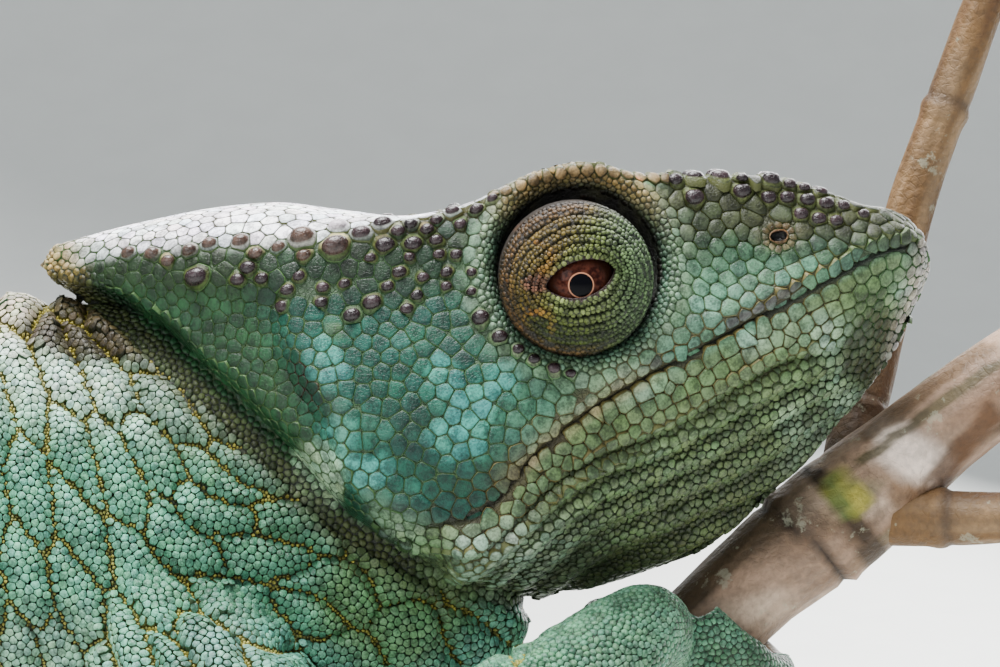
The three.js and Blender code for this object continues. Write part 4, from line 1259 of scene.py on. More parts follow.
def body_regions(p):
    """Which coat region each place belongs to, as an index into COAT_REGIONS."""
    x = p[:, 0]
    shares = limb_shares(p)
    region = np.where(x < -62, COAT_REGIONS.index("trunk"), COAT_REGIONS.index("shoulder"))
    region = np.where(x > -31, COAT_REGIONS.index("neck"), region)
    region = np.where(x < -156, COAT_REGIONS.index("tail"), region)
    limb = shares.argmax(axis=0)
    region = np.where(shares.max(axis=0) > 0.5, COAT_REGIONS.index("right_arm") + limb, region)
    head = on_head(p) > 0.5
    region = np.where(head, COAT_REGIONS.index("head"), region)
    return np.where(head & (on_jaw(x, p[:, 2]) > 0.5), COAT_REGIONS.index("throat"), region)


COAT_REGIONS = ("head", "throat", "neck", "shoulder", "trunk", "tail", *LIMBS)


def region_line(region):
    """The line that a region's unwrap runs along."""
    if region == "tail":
        return tail_line
    if region in LIMBS:
        return limb_line(LIMBS[region])[0]
    ends = {"head": [[-37, 0, 5], [35, 0, 4]], "throat": [[-12, 0, -8], [35, 0, 6]]}
    return through(ends.get(region, [[4, 0, -14], [-60, 0, -22], [-158, 0, -40]]))


def unwrapped(p, line):
    """A place on a flat unwrap: the share along the line, and the angle round it."""
    t = np.linspace(0, 1, 240)
    centre = line(t)
    ahead = unit(np.gradient(centre, axis=0))
    out = np.empty((len(p), 2))
    for part in np.array_split(np.arange(len(p)), max(1, len(p) // 4000)):
        away = p[part][:, None] - centre[None]
        near = np.argmin((away**2).sum(-1), axis=1)
        offset = away[np.arange(len(part)), near]
        share = t[near] + (offset * ahead[near]).sum(-1) / 240
        side = np.cross(ahead[near], [0.0, 1.0, 0.0])
        turn = np.arctan2(offset[:, 1], (offset * side).sum(-1))
        out[part] = np.stack([share, turn / (2 * np.pi) + 0.5], -1)
    low, high = out.min(axis=0), out.max(axis=0)
    return 0.01 + 0.98 * (out - low) / np.maximum(high - low, 1e-6)


def filled(hide, points, size_at):
    """The seeds, and new ones in the bare places that they left between them."""
    tree = tree_of(points)
    tried = hide.scattered(lambda p: 0.5 * size_at(p))
    clear = np.array([tree.find(p)[2] for p in tried.tolist()]) / size_at(tried)
    tried, clear = tried[clear > 0.8], clear[clear > 0.8]
    kept = []
    for p in tried[np.argsort(-clear)]:
        if all(np.linalg.norm(p - q) > 0.6 for q in kept):
            kept.append(p)
    return np.concatenate([points, np.array(kept).reshape(-1, 3)])


def planted(hide, width, tall, rounds=11):
    """Every scale's seed, as arrays: place, normal, size, height, colour and what else shapes it."""
    size_at = lambda p: width * scale_size(p)
    chosen, own, own_dome, gaps = chosen_seeds(hide)
    free = hide.scattered(size_at)
    tree = tree_of(chosen)
    found = [tree.find(p)[1:] for p in free.tolist()]
    room = (own[[f[0] for f in found]] + size_at(free)) / 2
    free = free[np.array([f[1] for f in found]) > 0.6 * room]
    points, normals = relaxed(hide, np.concatenate([chosen, free]), own, size_at, rounds)
    points, normals = relaxed(hide, filled(hide, points, size_at), own, size_at, 4)
    count = len(own)
    size = size_at(points)
    size[:count] = own
    dome = np.zeros(len(points))
    dome[:count] = own_dome
    x, y, z = points.T
    away, high = socket_share(points)
    head = on_head(points) > 0.5
    socket = head & (away < 0.93)
    hole = head & (np.hypot((x - NOSTRIL[0]) / 0.8, (z - NOSTRIL[1]) / 0.6) < 0.9)
    hole[:count] = False
    gap = np.zeros(len(points), bool)
    gap[:count] = gaps
    keep = ~(socket | hole) | gap
    points, normals, size, dome, gap, head, away, high = (
        m[keep] for m in (points, normals, size, dome, gap, head, away, high)
    )
    x, y, z = points.T
    fixed = np.arange(len(points)) < keep[:count].sum()
    granule = size < 0.5
    snout = head & (x > 13) & (z > 6.5)
    dome = np.where(fixed, dome, np.where(granule, 0.9, np.where(head, 0.1, 0.15)))
    dome = np.where(~fixed & snout, 0.6, dome)
    dome = np.where(~fixed & head & ((x > 33.2) | (x < -35.2)), 0.9, dome)
    dome = np.where(~fixed & head & (on_jaw(x, z) > 0.5), 0.55, dome)
    height = np.where(head, 0.07 + 0.05 * size, 0.07 + 0.1 * size)
    height = np.where(granule, 0.3 * size, height)
    height = np.where((dome > 0.85) & ~granule, 0.42 * size, height)
    height = np.where(fixed & (dome < 0.6), 0.18 * size, height)
    height = np.where(head & ~fixed & (dome > 0.5) & (dome < 0.7), 0.2 * size, height)
    height = np.where(fixed & (dome > 0.85) & (dome < 0.99), 0.3 * size, height)
    strength = furrow_strength(points)
    across, along = tangents(normals)
    turn = np.random.default_rng(SEED + 2).uniform(0, 2 * np.pi, len(points))[:, None]
    cos, sin = np.cos(turn), np.sin(turn)
    across, along = cos * across + sin * along, cos * along - sin * across
    relief = body_relief(points)
    rise = lambda d: (body_relief(points + 0.25 * d) - body_relief(points - 0.25 * d)) / 0.5
    slope = np.stack([rise(across), rise(along)], -1)
    region = body_regions(points)
    kind = np.full(len(points), KINDS.index("plain"))
    kind[granule] = KINDS.index("grain")
    kind[(region == COAT_REGIONS.index("throat")) & ~granule] = KINDS.index("middling")
    seen = (region == COAT_REGIONS.index("neck")) | (region == COAT_REGIONS.index("shoulder"))
    kind[seen & (y < 0) & (x > -43) & ~granule] = KINDS.index("middling")
    kind[head & (size > 0.75) & (region != COAT_REGIONS.index("throat"))] = KINDS.index("fine")
    kind[fixed] = KINDS.index("fine")
    kind[fixed & (size < 0.6)] = KINDS.index("middling")
    kind[dome > 0.99] = KINDS.index("boss")
    kind[fixed & (dome == PIT_DOME)] = KINDS.index("pit")
    kind[gap] = KINDS.index("gap")
    rng = np.random.default_rng(SEED + 3)
    chance = rng.random(len(points))
    hue = 0.16 * (rng.random((len(points), 3)) - 0.5) * [1.2, 0.5, 1.2]
    colour = markings_and_painted_light(points) * (1 + 0.22 * (rng.random((len(points), 1)) - 0.5) + hue)
    furrow = (strength > 0.4) * step(0.45, 0.3, furrow_distance(points)) * granule
    colour = blend(colour, FURROW_COLOUR * (0.6 + 0.7 * chance[:, None]), furrow * 0.85)
    boss = kind == KINDS.index("boss")
    pit = kind == KINDS.index("pit")
    brow = fixed & (dome > 0.85) & (size > 0.6) & ~boss & ~pit
    colour = blend(colour, paint(120, 98, 66) * (0.6 + 0.9 * chance[:, None]), brow * 0.8)
    colour = blend(colour, paint(84, 92, 44), boss * 0.45)
    colour = blend(colour, paint(96, 76, 48), pit * 0.7)
    # painted highlight: raised scales on the casque's top get pale crowns, where the top light falls
    # brightest
    pale_top = (x < -2) & (np.abs(y) < crest_width(x) - 1.2)
    dark = TUBERCLE_COLOUR * (0.7 + 0.7 * chance[:, None])
    crown = np.where(pale_top[:, None], paint(190, 182, 188), dark)
    crown = blend(crown, paint(78, 58, 46), boss * step(-10, -16, x) * step(5.4, 6.2, z) * 0.7)
    # painted shade: the nostril's hollow painted near black
    crown[pit] = paint(10, 6, 5)
    root = np.zeros((len(points), 2))
    for i, name in enumerate(COAT_REGIONS):
        some = region == i
        if some.any():
            root[some] = unwrapped(points[some], region_line(name))
    return {
        "points": points, "normals": normals, "size": size, "dome": dome, "height": height * tall,
        "groove": np.full(len(points), 0.008), "kind": kind, "seam": seams_and_painted_shade(points), "crown": crown,
        "lift": relief, "slope": np.clip(slope, -0.9, 0.9), "across": across,
        "sink": 0.12 + 0.2 * size + np.maximum(relief + 0.4, 0) * strength,
        "near": neighbours(points, 12), "root": root, "colour": colour, "region": region,
    }


# ---- Eyes -------------------------------------------------------------------------------------
LIDS = {"half_length": 2.78, "half_height": 1.42, "tilt": 15, "middle": (0.04, 0.5), "fold": 0.25}
TURRET_FOLDS = 6
PIVOT = 6.0  # how far inside the opening the turret turns


def aimed(local, side):
    """Points given across the turret, up it and out along its axis, with the opening's middle as the
    origin, carried to their place on that side of the head."""
    a, b, w = local[..., 0], local[..., 1], local[..., 2]
    forward, down = math.radians(EYE["forward"]), math.radians(EYE["down"])
    out = w + PIVOT
    x = a * math.cos(forward) + out * math.sin(forward)
    out = out * math.cos(forward) - a * math.sin(forward)
    z = b * math.cos(down) - out * math.sin(down)
    out = out * math.cos(down) + b * math.sin(down)
    return np.stack([EYE["x"] + x, side * (EYE["reach"] - PIVOT + out), EYE["z"] + z], -1)


def lid_edge(angle):
    """The almond of the lids: an ellipse with its ends drawn out to points, tilted."""
    a = LIDS["half_length"] * np.cos(angle)
    b = LIDS["half_height"] * np.sin(angle) * np.abs(np.sin(angle)) ** 0.35
    tilt = math.radians(LIDS["tilt"])
    return np.stack([
        LIDS["middle"][0] + a * math.cos(tilt) - b * math.sin(tilt),
        LIDS["middle"][1] + a * math.sin(tilt) + b * math.cos(tilt),
    ], -1)


def on_ball(flat, clearance):
    """How far out the eyeball, grown by a clearance, reaches at a place across the turret."""
    radius = EYE["ball"] + clearance
    away = np.minimum(np.hypot(flat[..., 0], flat[..., 1]), radius * 0.98)
    return np.sqrt(radius**2 - away**2) - EYE["ball"] - LIDS["fold"]


def turret_place(t, angle):
    """The turret's skin from its wall (t=0) to the lids' edge (t=1), without its folds: a circle
    that turns into the almond of the lids while the dome rises to the opening."""
    wall = EYE["radius"] - 0.15
    ring = wall * np.stack([np.cos(angle), np.sin(angle)], -1)
    edge = lid_edge(angle)
    flat = ring * (1 - t)[..., None] + edge * t[..., None]
    dome = -4.4 * np.clip(1 - t, 0, 1) ** 2.1
    lid = on_ball(edge, 0.3)
    out = dome - 0.1 + (lid + 0.1) * step(0.35, 1, t)
    return np.concatenate([flat, out[..., None]], -1)


def turret_wave(t, angle):
    """How far the ring folds of the turret wander inwards and outwards round it."""
    sway = 0.026 * np.sin(2 * angle + 1) + 0.02 * np.sin(3 * angle + 4) + 0.014 * np.sin(7 * angle + 2)
    return sway * np.sin(np.pi * np.clip(t, 0, 1))


def turret_crown(t, angle):
    """0 in the furrows between the turret's ring folds, 1 on top of them."""
    return np.abs(np.sin(np.pi * TURRET_FOLDS * (t + turret_wave(t, angle)))) ** 0.7


def turret_fold(t, angle):
    """Height of the ring folds over the turret: round ridges with sharp furrows between them."""
    deep = 0.5 + 0.14 * np.sin(3 * angle + 9 * t)
    return deep * (turret_crown(t, angle) - 0.8) * step(0, 0.06, t) * step(1.02, 0.9, t)


def turret_normals(points):
    """Normals of a grid whose rows go round the turret."""
    round_it = np.roll(points, -1, axis=1) - np.roll(points, 1, axis=1)
    normal = unit(np.cross(round_it, np.gradient(points, axis=0)))
    return normal * np.sign(normal[..., 2].sum())


def turret_skin(side, rows=84, sides=120):
    """The turret from deep in its socket over the dome to the lids, which turn in on the eyeball."""
    t = np.linspace(0, 1, rows)[:, None] + np.zeros((1, sides))
    angle = np.broadcast_to(2 * np.pi * np.arange(sides) / sides, t.shape)
    dome = turret_place(t, angle)
    dome += turret_fold(t, angle)[..., None] * turret_normals(dome)
    wall = np.stack([dome[0] + [0, 0, -d] for d in (3.6, 2.4, 1.2)])
    edge = lid_edge(angle[0])
    lips = []
    for shrink, clearance in ((0.985, 0.16), (0.99, 0.02), (1.03, -0.25)):
        flat = edge * shrink
        lips.append(np.concatenate([flat, on_ball(flat, clearance)[..., None]], -1))
    return aimed(np.concatenate([wall, dome, np.stack(lips)]), side)


def turret_markings(flat):
    """Olive green granules, orange-brown behind, darker below, and pale round the lids."""
    a, b = flat[..., 0], flat[..., 1]
    reach = np.hypot(a, b)
    mottle = noise(np.stack([a, b, 0 * a], -1), 1.1, 21)
    colour = np.broadcast_to(paint(76, 84, 32), (*a.shape, 3))
    colour = painted(colour, [
        (72, 96, 66, step(0, 4.5, a) * 0.75),
        (76, 56, 16, step(-0.6, -3.6, a - 0.5 * b) * 0.8),
        (36, 48, 16, step(-1.5, -4.5, b) * 0.75),
        (70, 46, 24, step(4.6, 5.7, reach) * step(3.5, 0, a) * 0.8),
        (112, 126, 78, step(3.4, 1.8, reach) * 0.5),
        (158, 92, 34, step(0.5, 0.9, mottle) * step(-1, -4, a) * 0.45),
        (118, 74, 66, spot(a, b, (-3.2, 0.1), (1.3, 0.7)) * 0.6),
    ])
    return colour * (1 + 0.25 * mottle)[..., None]


def turret_seeds(side, size=0.36):
    """Granules in rings that follow the folds, three rings to a fold, half a step from each other."""
    rows = 3 * TURRET_FOLDS
    rng = np.random.default_rng(SEED + 5)
    points, roots = [], []
    for k in range(-1, rows):
        middle = 0.95 * (k + 0.5) / rows
        length = 2 * np.pi * (EYE["radius"] * (1 - middle) + 2.1 * middle)
        count = int(length / (size * (1.1 + 0.1 * np.cos(2.4 * k))))
        angle = 2 * np.pi * (np.arange(count) + 0.5 * (k % 2) + rng.uniform(-0.3, 0.3, count)) / count
        t = middle + rng.uniform(-0.3, 0.3, count) / rows - turret_wave(middle, angle)
        place = turret_place(np.clip(t, 0, 1), angle)
        place[..., 2] += np.minimum(t, 0) * 14
        points.append(place)
        roots.append(np.stack([0.05 + 0.85 * np.clip(t, 0, 1), angle / (2 * np.pi)], -1))
    flat = np.concatenate(points)
    roots = np.concatenate(roots)
    shares = (roots[:, 0] - 0.05) / 0.85
    eps = 0.004
    step_out = [turret_place(np.clip(shares + d, 0, 1), roots[:, 1] * 2 * np.pi) for d in (-eps, eps)]
    step_round = [turret_place(shares, roots[:, 1] * 2 * np.pi + d) for d in (-0.02, 0.02)]
    normal = unit(np.cross(step_round[1] - step_round[0], step_out[1] - step_out[0]))
    normal *= np.sign(normal[:, 2:3] + 1e-9)
    round_it = 2 * np.pi * roots[:, 1]
    fold = turret_fold(shares, round_it)
    # painted shade: granules darker in the furrows between the ring folds, lighter on their crowns
    shade = 0.25 + 0.85 * turret_crown(shares, round_it)[:, None]
    flat = flat + fold[:, None] * normal
    origin = aimed(np.zeros((1, 3)), side)
    world = aimed(flat, side)
    turned = aimed(normal, side) - origin
    near = neighbours(world, 12)
    across, along = tangents(turned)
    chance = rng.random(len(flat))
    return {
        "points": world, "normals": turned, "size": np.full(len(flat), size),
        "dome": np.full(len(flat), 0.6), "height": np.full(len(flat), 0.12),
        "groove": np.full(len(flat), 0.005), "kind": np.full(len(flat), KINDS.index("plain")),
        "lift": np.zeros(len(flat)), "slope": np.zeros((len(flat), 2)), "across": across,
        "sink": np.full(len(flat), 0.2), "near": near, "root": roots * [1, 0.98] + [0, 0.01],
        "colour": turret_markings(flat) * (0.7 + 0.6 * chance[:, None]) * shade,
        # painted shade: the line round each granule darkened, as it lies in the groove
        "crown": np.zeros((len(flat), 3)), "seam": turret_markings(flat) * 0.2,
    }


def eyeball_surface(side, rows=72, sides=96):
    """A ball whose rings run from the middle of the pupil to the back, and how far each ring lies
    from the eye's axis."""
    polar = np.pi * (np.arange(rows) + 0.5) / rows
    angle = 2 * np.pi * np.arange(sides) / sides
    radius = EYE["ball"] - 0.02
    a = radius * np.sin(polar)[:, None] * np.cos(angle)
    b = radius * np.sin(polar)[:, None] * np.sin(angle)
    out = radius * np.cos(polar)[:, None] - EYE["ball"] - LIDS["fold"] + 0 * a
    away = np.where(polar < np.pi / 2, radius * np.sin(polar), 9)[:, None] + 0 * a
    return aimed(np.stack([a, b, out], -1), side), away


# ---- Branch -----------------------------------------------------------------------------------
NODE_AT = 0.905  # share of the branch's length where the shoots leave it
BRANCH_LENGTH = 262.0  # mm

# Marks on the side of the branch: line in side view, half width, colour and strength.
BRANCH_MARKS = [
    # painted highlight: a pale patch where the light shines on the prong
    ([[31.5, -8.8], [34.6, -10.6]], 1.7, (226, 208, 194), 0.85),
    ([[32.0, -12.6], [35.5, -14.2]], 1.1, (98, 70, 44), 0.8),
    ([[35.4, -11.6], [37.2, -9.0], [39.4, -6.6]], 1.0, (74, 46, 20), 0.85),
    ([[28.9, -10.3], [34, -6.6], [40, -2.4]], 0.45, (66, 62, 36), 0.8),
    ([[29.4, -8.2], [34, -4.8], [39, -1.0]], 0.5, (84, 62, 36), 0.75),
    ([[24.6, -10.6], [26.6, -12.6], [28.2, -15.0], [29.2, -16.4]], 0.42, (36, 24, 12), 0.95),
    ([[28.6, -15.2], [29.8, -17.2], [30.8, -18.8]], 1.1, (48, 34, 18), 0.95),
    ([[27.2, -12.0], [28.4, -13.4]], 1.15, (120, 122, 44), 0.85),
    ([[28.4, -12.6], [29.0, -13.6]], 0.5, (186, 172, 72), 0.6),
    ([[26.6, -11.6], [27.6, -14.2]], 0.5, (74, 88, 44), 0.8),
]


def branch_bark(rows=300, sides=96):
    """The branch's bark: a swept circle with long shallow grooves, small ripples, a swelling and a
    scar line round it at the node. Gives points, and how far along and round each lies."""
    plain = swept(branch_line, lambda t: np.ones_like(t), rows, sides)
    t = np.broadcast_to((np.arange(rows + 1) / rows)[:, None], plain.shape[:2])
    centre = branch_line(t[:, 0])[:, None]
    spoke = plain - centre
    angle = np.broadcast_to(2 * np.pi * np.arange(sides) / sides, t.shape)
    along = t * BRANCH_LENGTH
    wave = around(angle, along, 1.5, 26, 31)
    line = around(angle, along, 5, 9, 32)
    fine = around(angle, along, 14, 3, 33)
    grooves = -0.32 * step(0.35, 0.75, -wave) - 0.10 * np.abs(line) + 0.05 * fine
    bent = (t - NODE_AT) * BRANCH_LENGTH + 1.1 * np.sin(angle + 0.7)
    scar = -0.4 * bump(bent, -3.2, 0.35) + 0.35 * bump(bent, -2.3, 0.8) - 0.25 * bump(bent, 3.6, 0.4)
    size = branch_radius(t) - 0.12 + grooves + scar
    size = size - 0.05 * bump(np.abs(t - 0.5), 0.5, 0.004)
    return centre + spoke * size[..., None], along, angle, t


def bark_colour(p, along, angle, t, base):
    """Pinkish tan bark in long streaks, dark in the grooves, with painted shadow over its upper side before
    the node, a painted highlight on the prong, and a collar and a green bud patch at the node."""
    streak = around(angle, along, 4, 14, 35)
    wave = around(angle, along, 1.5, 26, 31)
    blotch = noise(p, 4.5, 36)
    fleck = noise(p, 0.9, 37)
    colour = np.broadcast_to(base, p.shape)
    colour = painted(colour, [
        (188, 168, 148, step(0.1, 0.7, blotch) * 0.6),
        (96, 70, 48, step(0.1, 0.8, streak) * 0.65),
        (66, 52, 34, step(0.3, 0.7, -wave) * 0.85),
        (104, 112, 84, step(0.45, 0.8, streak) * step(NODE_AT - 0.01, NODE_AT + 0.03, t) * 0.6),
        (74, 56, 40, step(0.35, 0.75, fleck) * 0.35),
    ])
    # painted shadow: the stem's upper side darkened before the node
    upper = np.sin(angle) + 0.25 * np.cos(angle) + 0.35 * streak
    band = step(0.0, 0.4, upper) * step(NODE_AT + 0.01, NODE_AT - 0.02, t)
    colour = blend(colour, paint(54, 42, 24), band * (0.75 + 0.25 * step(-0.3, 0.3, blotch)))
    beyond = step(NODE_AT, NODE_AT + 0.03, t)
    colour = blend(colour, paint(96, 62, 34), beyond * step(0.1, 0.5, wave) * 0.7)
    place = (t - NODE_AT) * BRANCH_LENGTH + 1.1 * np.sin(angle + 0.7)
    colour = blend(colour, paint(40, 28, 16), bump(place, -3.2, 0.5))
    ragged = noise(p, 1.8, 38)
    x, z, front = p[..., 0] + 0.3 * fleck + 0.5 * ragged, p[..., 2] + 0.5 * blotch, step(6, 4, p[..., 1])
    for line, width, mark, strength in BRANCH_MARKS:
        away = line_distance(x, z, line)[0]
        colour = blend(colour, paint(*mark), step(1.5 * width, 0.6 * width, away) * front * strength)
    return colour


SHOOTS = {"low": (LOW_SHOOT, 2.7, 1.9), "high": (HIGH_SHOOT, 2.4, 1.8)}


def shoot_bark(path, thick, thin, rows=150, sides=56):
    line = through(path)
    length = float(np.linalg.norm(np.diff(np.array(path), axis=0), axis=1).sum())
    plain = swept(line, lambda t: np.ones_like(t), rows, sides)
    t = np.broadcast_to((np.arange(rows + 1) / rows)[:, None], plain.shape[:2])
    angle = np.broadcast_to(2 * np.pi * np.arange(sides) / sides, t.shape)
    centre = line(t[:, 0])[:, None]
    along = t * length
    knots = 0.22 * bump((along / 13) % 1, 0.5, 0.06) - 0.1 * bump((along / 13) % 1, 0.56, 0.03)
    fine = around(angle, along, 3, 5, 41)
    size = thick + (thin - thick) * t - 0.12 + knots + 0.08 * fine
    return centre + (plain - centre) * size[..., None], along, angle, t


def shoot_colour(p, along, angle, t, base):
    streak = around(angle, along, 2.5, 11, 42)
    colour = np.broadcast_to(base * [0.44, 0.36, 0.2], p.shape)
    colour = painted(colour, [
        (142, 116, 86, step(-0.1, 0.7, streak) * 0.7),
        (74, 48, 26, step(0.1, 0.8, -streak) * 0.7),
        # painted shade: darker on the shoots' undersides
        (70, 52, 24, step(-0.2, 0.6, -np.cos(angle - 2.6)) * 0.6),
        # painted shadow: the high shoot dark where it passes low behind the head
        (58, 40, 24, step(5, -6, p[..., 2]) * (p[..., 1] > 5.5) * 0.8),
    ])
    return blend(colour, paint(70, 54, 40), bump((along / 13) % 1, 0.56, 0.04) * 0.7)


# ---- Materials --------------------------------------------------------------------------------
def fed(tree, node, **inputs):
    """Feeds a node's inputs, each with a value or another node's output; in0 is the first input."""
    for name, value in inputs.items():
        socket = node.inputs[int(name[2:]) if name[:2] == "in" else name.replace("_", " ")]
        if isinstance(value, bpy.types.NodeSocket):
            tree.links.new(value, socket)
        else:
            socket.default_value = value
    return node


def add_node(tree, kind, settings=(), **inputs):
    """A node with its settings and inputs."""
    node = tree.nodes.new(kind)
    for key, value in dict(settings).items():
        setattr(node, key, value)
    return fed(tree, node, **inputs)


def maths(tree, operation, *values):
    """A Math node's result."""
    inputs = {f"in{i}": v for i, v in enumerate(values)}
    return add_node(tree, "ShaderNodeMath", {"operation": operation}, **inputs).outputs[0]


def mixed(tree, share, one, other, blend_type="MIX"):
    """Two colours mixed by a share."""
    settings = {"data_type": "RGBA", "blend_type": blend_type}
    return add_node(tree, "ShaderNodeMix", settings, in0=share, in6=one, in7=other).outputs[2]


def ramped(tree, value, low, high, to_low=0.0, to_high=1.0):
    """A value carried from one range to another with an s-curve."""
    node = add_node(tree, "ShaderNodeMapRange", {"interpolation_type": "SMOOTHSTEP"}, in0=value)
    return fed(tree, node, in1=low, in2=high, in3=to_low, in4=to_high).outputs[0]


def own_place(tree):
    """Where a spot lies in the piece's own metres."""
    return add_node(tree, "ShaderNodeTexCoord").outputs["Object"]


def noise_over(tree, place, scale, detail, **inputs):
    """A noise texture's value."""
    node = add_node(tree, "ShaderNodeTexNoise", Vector=place, Scale=scale, Detail=detail, **inputs)
    return node.outputs[0]


def attribute(tree, name, output="Fac"):
    return add_node(tree, "ShaderNodeAttribute", {"attribute_name": name}).outputs[output]


def node_group(name, inputs, outputs):
    """An empty shader node group with named inputs, their defaults, and named outputs."""
    group = bpy.data.node_groups.new(name, "ShaderNodeTree")
    for label, kind, default in inputs:
        socket = group.interface.new_socket(label, in_out="INPUT", socket_type=kind)
        socket.default_value = default
    for label, kind in outputs:
        group.interface.new_socket(label, in_out="OUTPUT", socket_type=kind)
    return group, group.nodes.new("NodeGroupInput").outputs, group.nodes.new("NodeGroupOutput").inputs


@lru_cache
def mottle_group():
    """Uneven colour: soft patches and small flecks that darken and lighten a colour."""
    group, given, result = node_group(
        "mottle",
        [("Colour", "NodeSocketColor", (0.5, 0.5, 0.5, 1)), ("Patch Scale", "NodeSocketFloat", 400.0),
         ("Fleck Scale", "NodeSocketFloat", 3000.0), ("Amount", "NodeSocketFloat", 0.3)],
        [("Colour", "NodeSocketColor"), ("Mask", "NodeSocketFloat")],
    )
    place = own_place(group)
    patch = noise_over(group, place, given["Patch Scale"], 3.0)
    fleck = noise_over(group, place, given["Fleck Scale"], 2.0)
    both = maths(group, "ADD", maths(group, "MULTIPLY", patch, 0.6), maths(group, "MULTIPLY", fleck, 0.4))
    swing = maths(group, "SUBTRACT", ramped(group, both, 0.35, 0.65), 0.5)
    swing = maths(group, "MULTIPLY", swing, given["Amount"])
    gain = maths(group, "ADD", swing, 1.0)
    grey = add_node(group, "ShaderNodeCombineColor", in0=gain, in1=gain, in2=gain).outputs[0]
    group.links.new(mixed(group, 1.0, given["Colour"], grey, "MULTIPLY"), result["Colour"])
    group.links.new(both, result["Mask"])
    return group


@lru_cache
def fine_relief_group():
    """Height of a fine wrinkled surface: cells with creases between them over a soft grain."""
    group, given, result = node_group(
        "fine_relief",
        [("Wrinkle Scale", "NodeSocketFloat", 3000.0), ("Grain Scale", "NodeSocketFloat", 9000.0),
         ("Wrinkle Share", "NodeSocketFloat", 0.5)],
        [("Height", "NodeSocketFloat")],
    )
    place = own_place(group)
    cells = add_node(group, "ShaderNodeTexVoronoi", {"feature": "DISTANCE_TO_EDGE"}, Vector=place)
    edges = fed(group, cells, Scale=given["Wrinkle Scale"]).outputs[0]
    creases = maths(group, "MULTIPLY", ramped(group, edges, 0.0, 0.12), given["Wrinkle Share"])
    grain = noise_over(group, place, given["Grain Scale"], 2.0)
    group.links.new(maths(group, "ADD", creases, grain), result["Height"])
    return group


@lru_cache
def streak_group():
    """Long streaks of grain along one axis of a piece: rings, lines and pores drawn out along it."""
    group, given, result = node_group(
        "streaks",
        [("Place", "NodeSocketVector", (0, 0, 0)), ("Scale", "NodeSocketFloat", 300.0)],
        [("Mask", "NodeSocketFloat"), ("Lines", "NodeSocketFloat")],
    )
    broad = noise_over(group, given["Place"], given["Scale"], 4.0)
    close = maths(group, "MULTIPLY", given["Scale"], 5.0)
    lines = noise_over(group, given["Place"], close, 3.0)
    group.links.new(ramped(group, broad, 0.35, 0.65), result["Mask"])
    group.links.new(ramped(group, lines, 0.3, 0.7), result["Lines"])
    return group


def placed_group(tree, group, **inputs):
    return add_node(tree, "ShaderNodeGroup", {"node_tree": group}, **inputs)


def mottled(tree, colour, patch, fleck, amount):
    """The mottle group's outputs for a colour: the mottled colour, and the mask."""
    node = placed_group(tree, mottle_group(), Colour=colour)
    return fed(tree, node, Patch_Scale=patch, Fleck_Scale=fleck, Amount=amount).outputs


def new_material(name, roughness=0.5, **settings):
    """A material with a Principled BSDF whose constants are set on its own sockets."""
    material = bpy.data.materials.new(name)
    material.use_nodes = True
    tree = material.node_tree
    shader = next(n for n in tree.nodes if n.type == "BSDF_PRINCIPLED")
    return material, tree, fed(tree, shader, Roughness=roughness, **settings)


def bumped(tree, shader, height, distance):
    """Bends a shader's normals by a height that reaches the distance, in metres."""
    node = add_node(tree, "ShaderNodeBump", Height=height, Distance=distance)
    fed(tree, shader, Normal=node.outputs[0])


def wrinkled(tree, shader, wrinkle, grain, share, distance):
    """Bends a shader's normals by the fine relief group's height."""
    node = placed_group(tree, fine_relief_group(), Wrinkle_Scale=wrinkle, Grain_Scale=grain)
    bumped(tree, shader, fed(tree, node, Wrinkle_Share=share).outputs[0], distance)


@lru_cache
def scale_material(name, gloss, rim_shade, rim_start=0.8):
    """Horny scales: the colour each scale carries, finely mottled and darkened towards its rim as painted
    shade where it slopes into the groove, with a thin line of the skin's colour round it; domed ones
    are shinier."""
    material, tree, shader = new_material(name, Specular_IOR_Level=0.26, Coat_Roughness=0.18)
    colour = attribute(tree, "hide", "Color")
    rim = attribute(tree, "rim")
    spotty, mask = mottled(tree, colour, 1100.0, 5200.0, 1.1)
    # painted shade: each scale darkened towards its rim, where it slopes down into the groove
    shade = maths(tree, "MULTIPLY", ramped(tree, rim, rim_start, 0.97), rim_shade)
    darker = mixed(tree, shade, spotty, (0.006, 0.012, 0.008, 1))
    lined = mixed(tree, ramped(tree, rim, 0.945, 0.97), darker, attribute(tree, "seam", "Color"))
    dome = attribute(tree, "dome")
    shine = maths(tree, "MULTIPLY", ramped(tree, dome, 0.8, 1.0), 0.14)
    rough = maths(tree, "SUBTRACT", ramped(tree, mask, 0.3, 0.7, gloss, gloss + 0.16), shine)
    coat = ramped(tree, dome, 0.8, 1.0, 0.0, 0.35)
    fed(tree, shader, Base_Color=lined, Coat_Weight=coat, Roughness=rough)
    wrinkled(tree, shader, 3600.0, 7000.0, 0.35, 0.00004)
    return material


@lru_cache
def skin_material():
    """The bare skin between the scales: the animal's colours, darkened as painted shade in the grooves,
    with a fine wrinkled surface.
    """
    material, tree, shader = new_material("bare_skin", roughness=0.6)
    fed(tree, shader, Base_Color=mottled(tree, attribute(tree, "hide", "Color"), 700.0, 3000.0, 0.5)[0])
    wrinkled(tree, shader, 2600.0, 6000.0, 0.8, 0.00008)
    return material


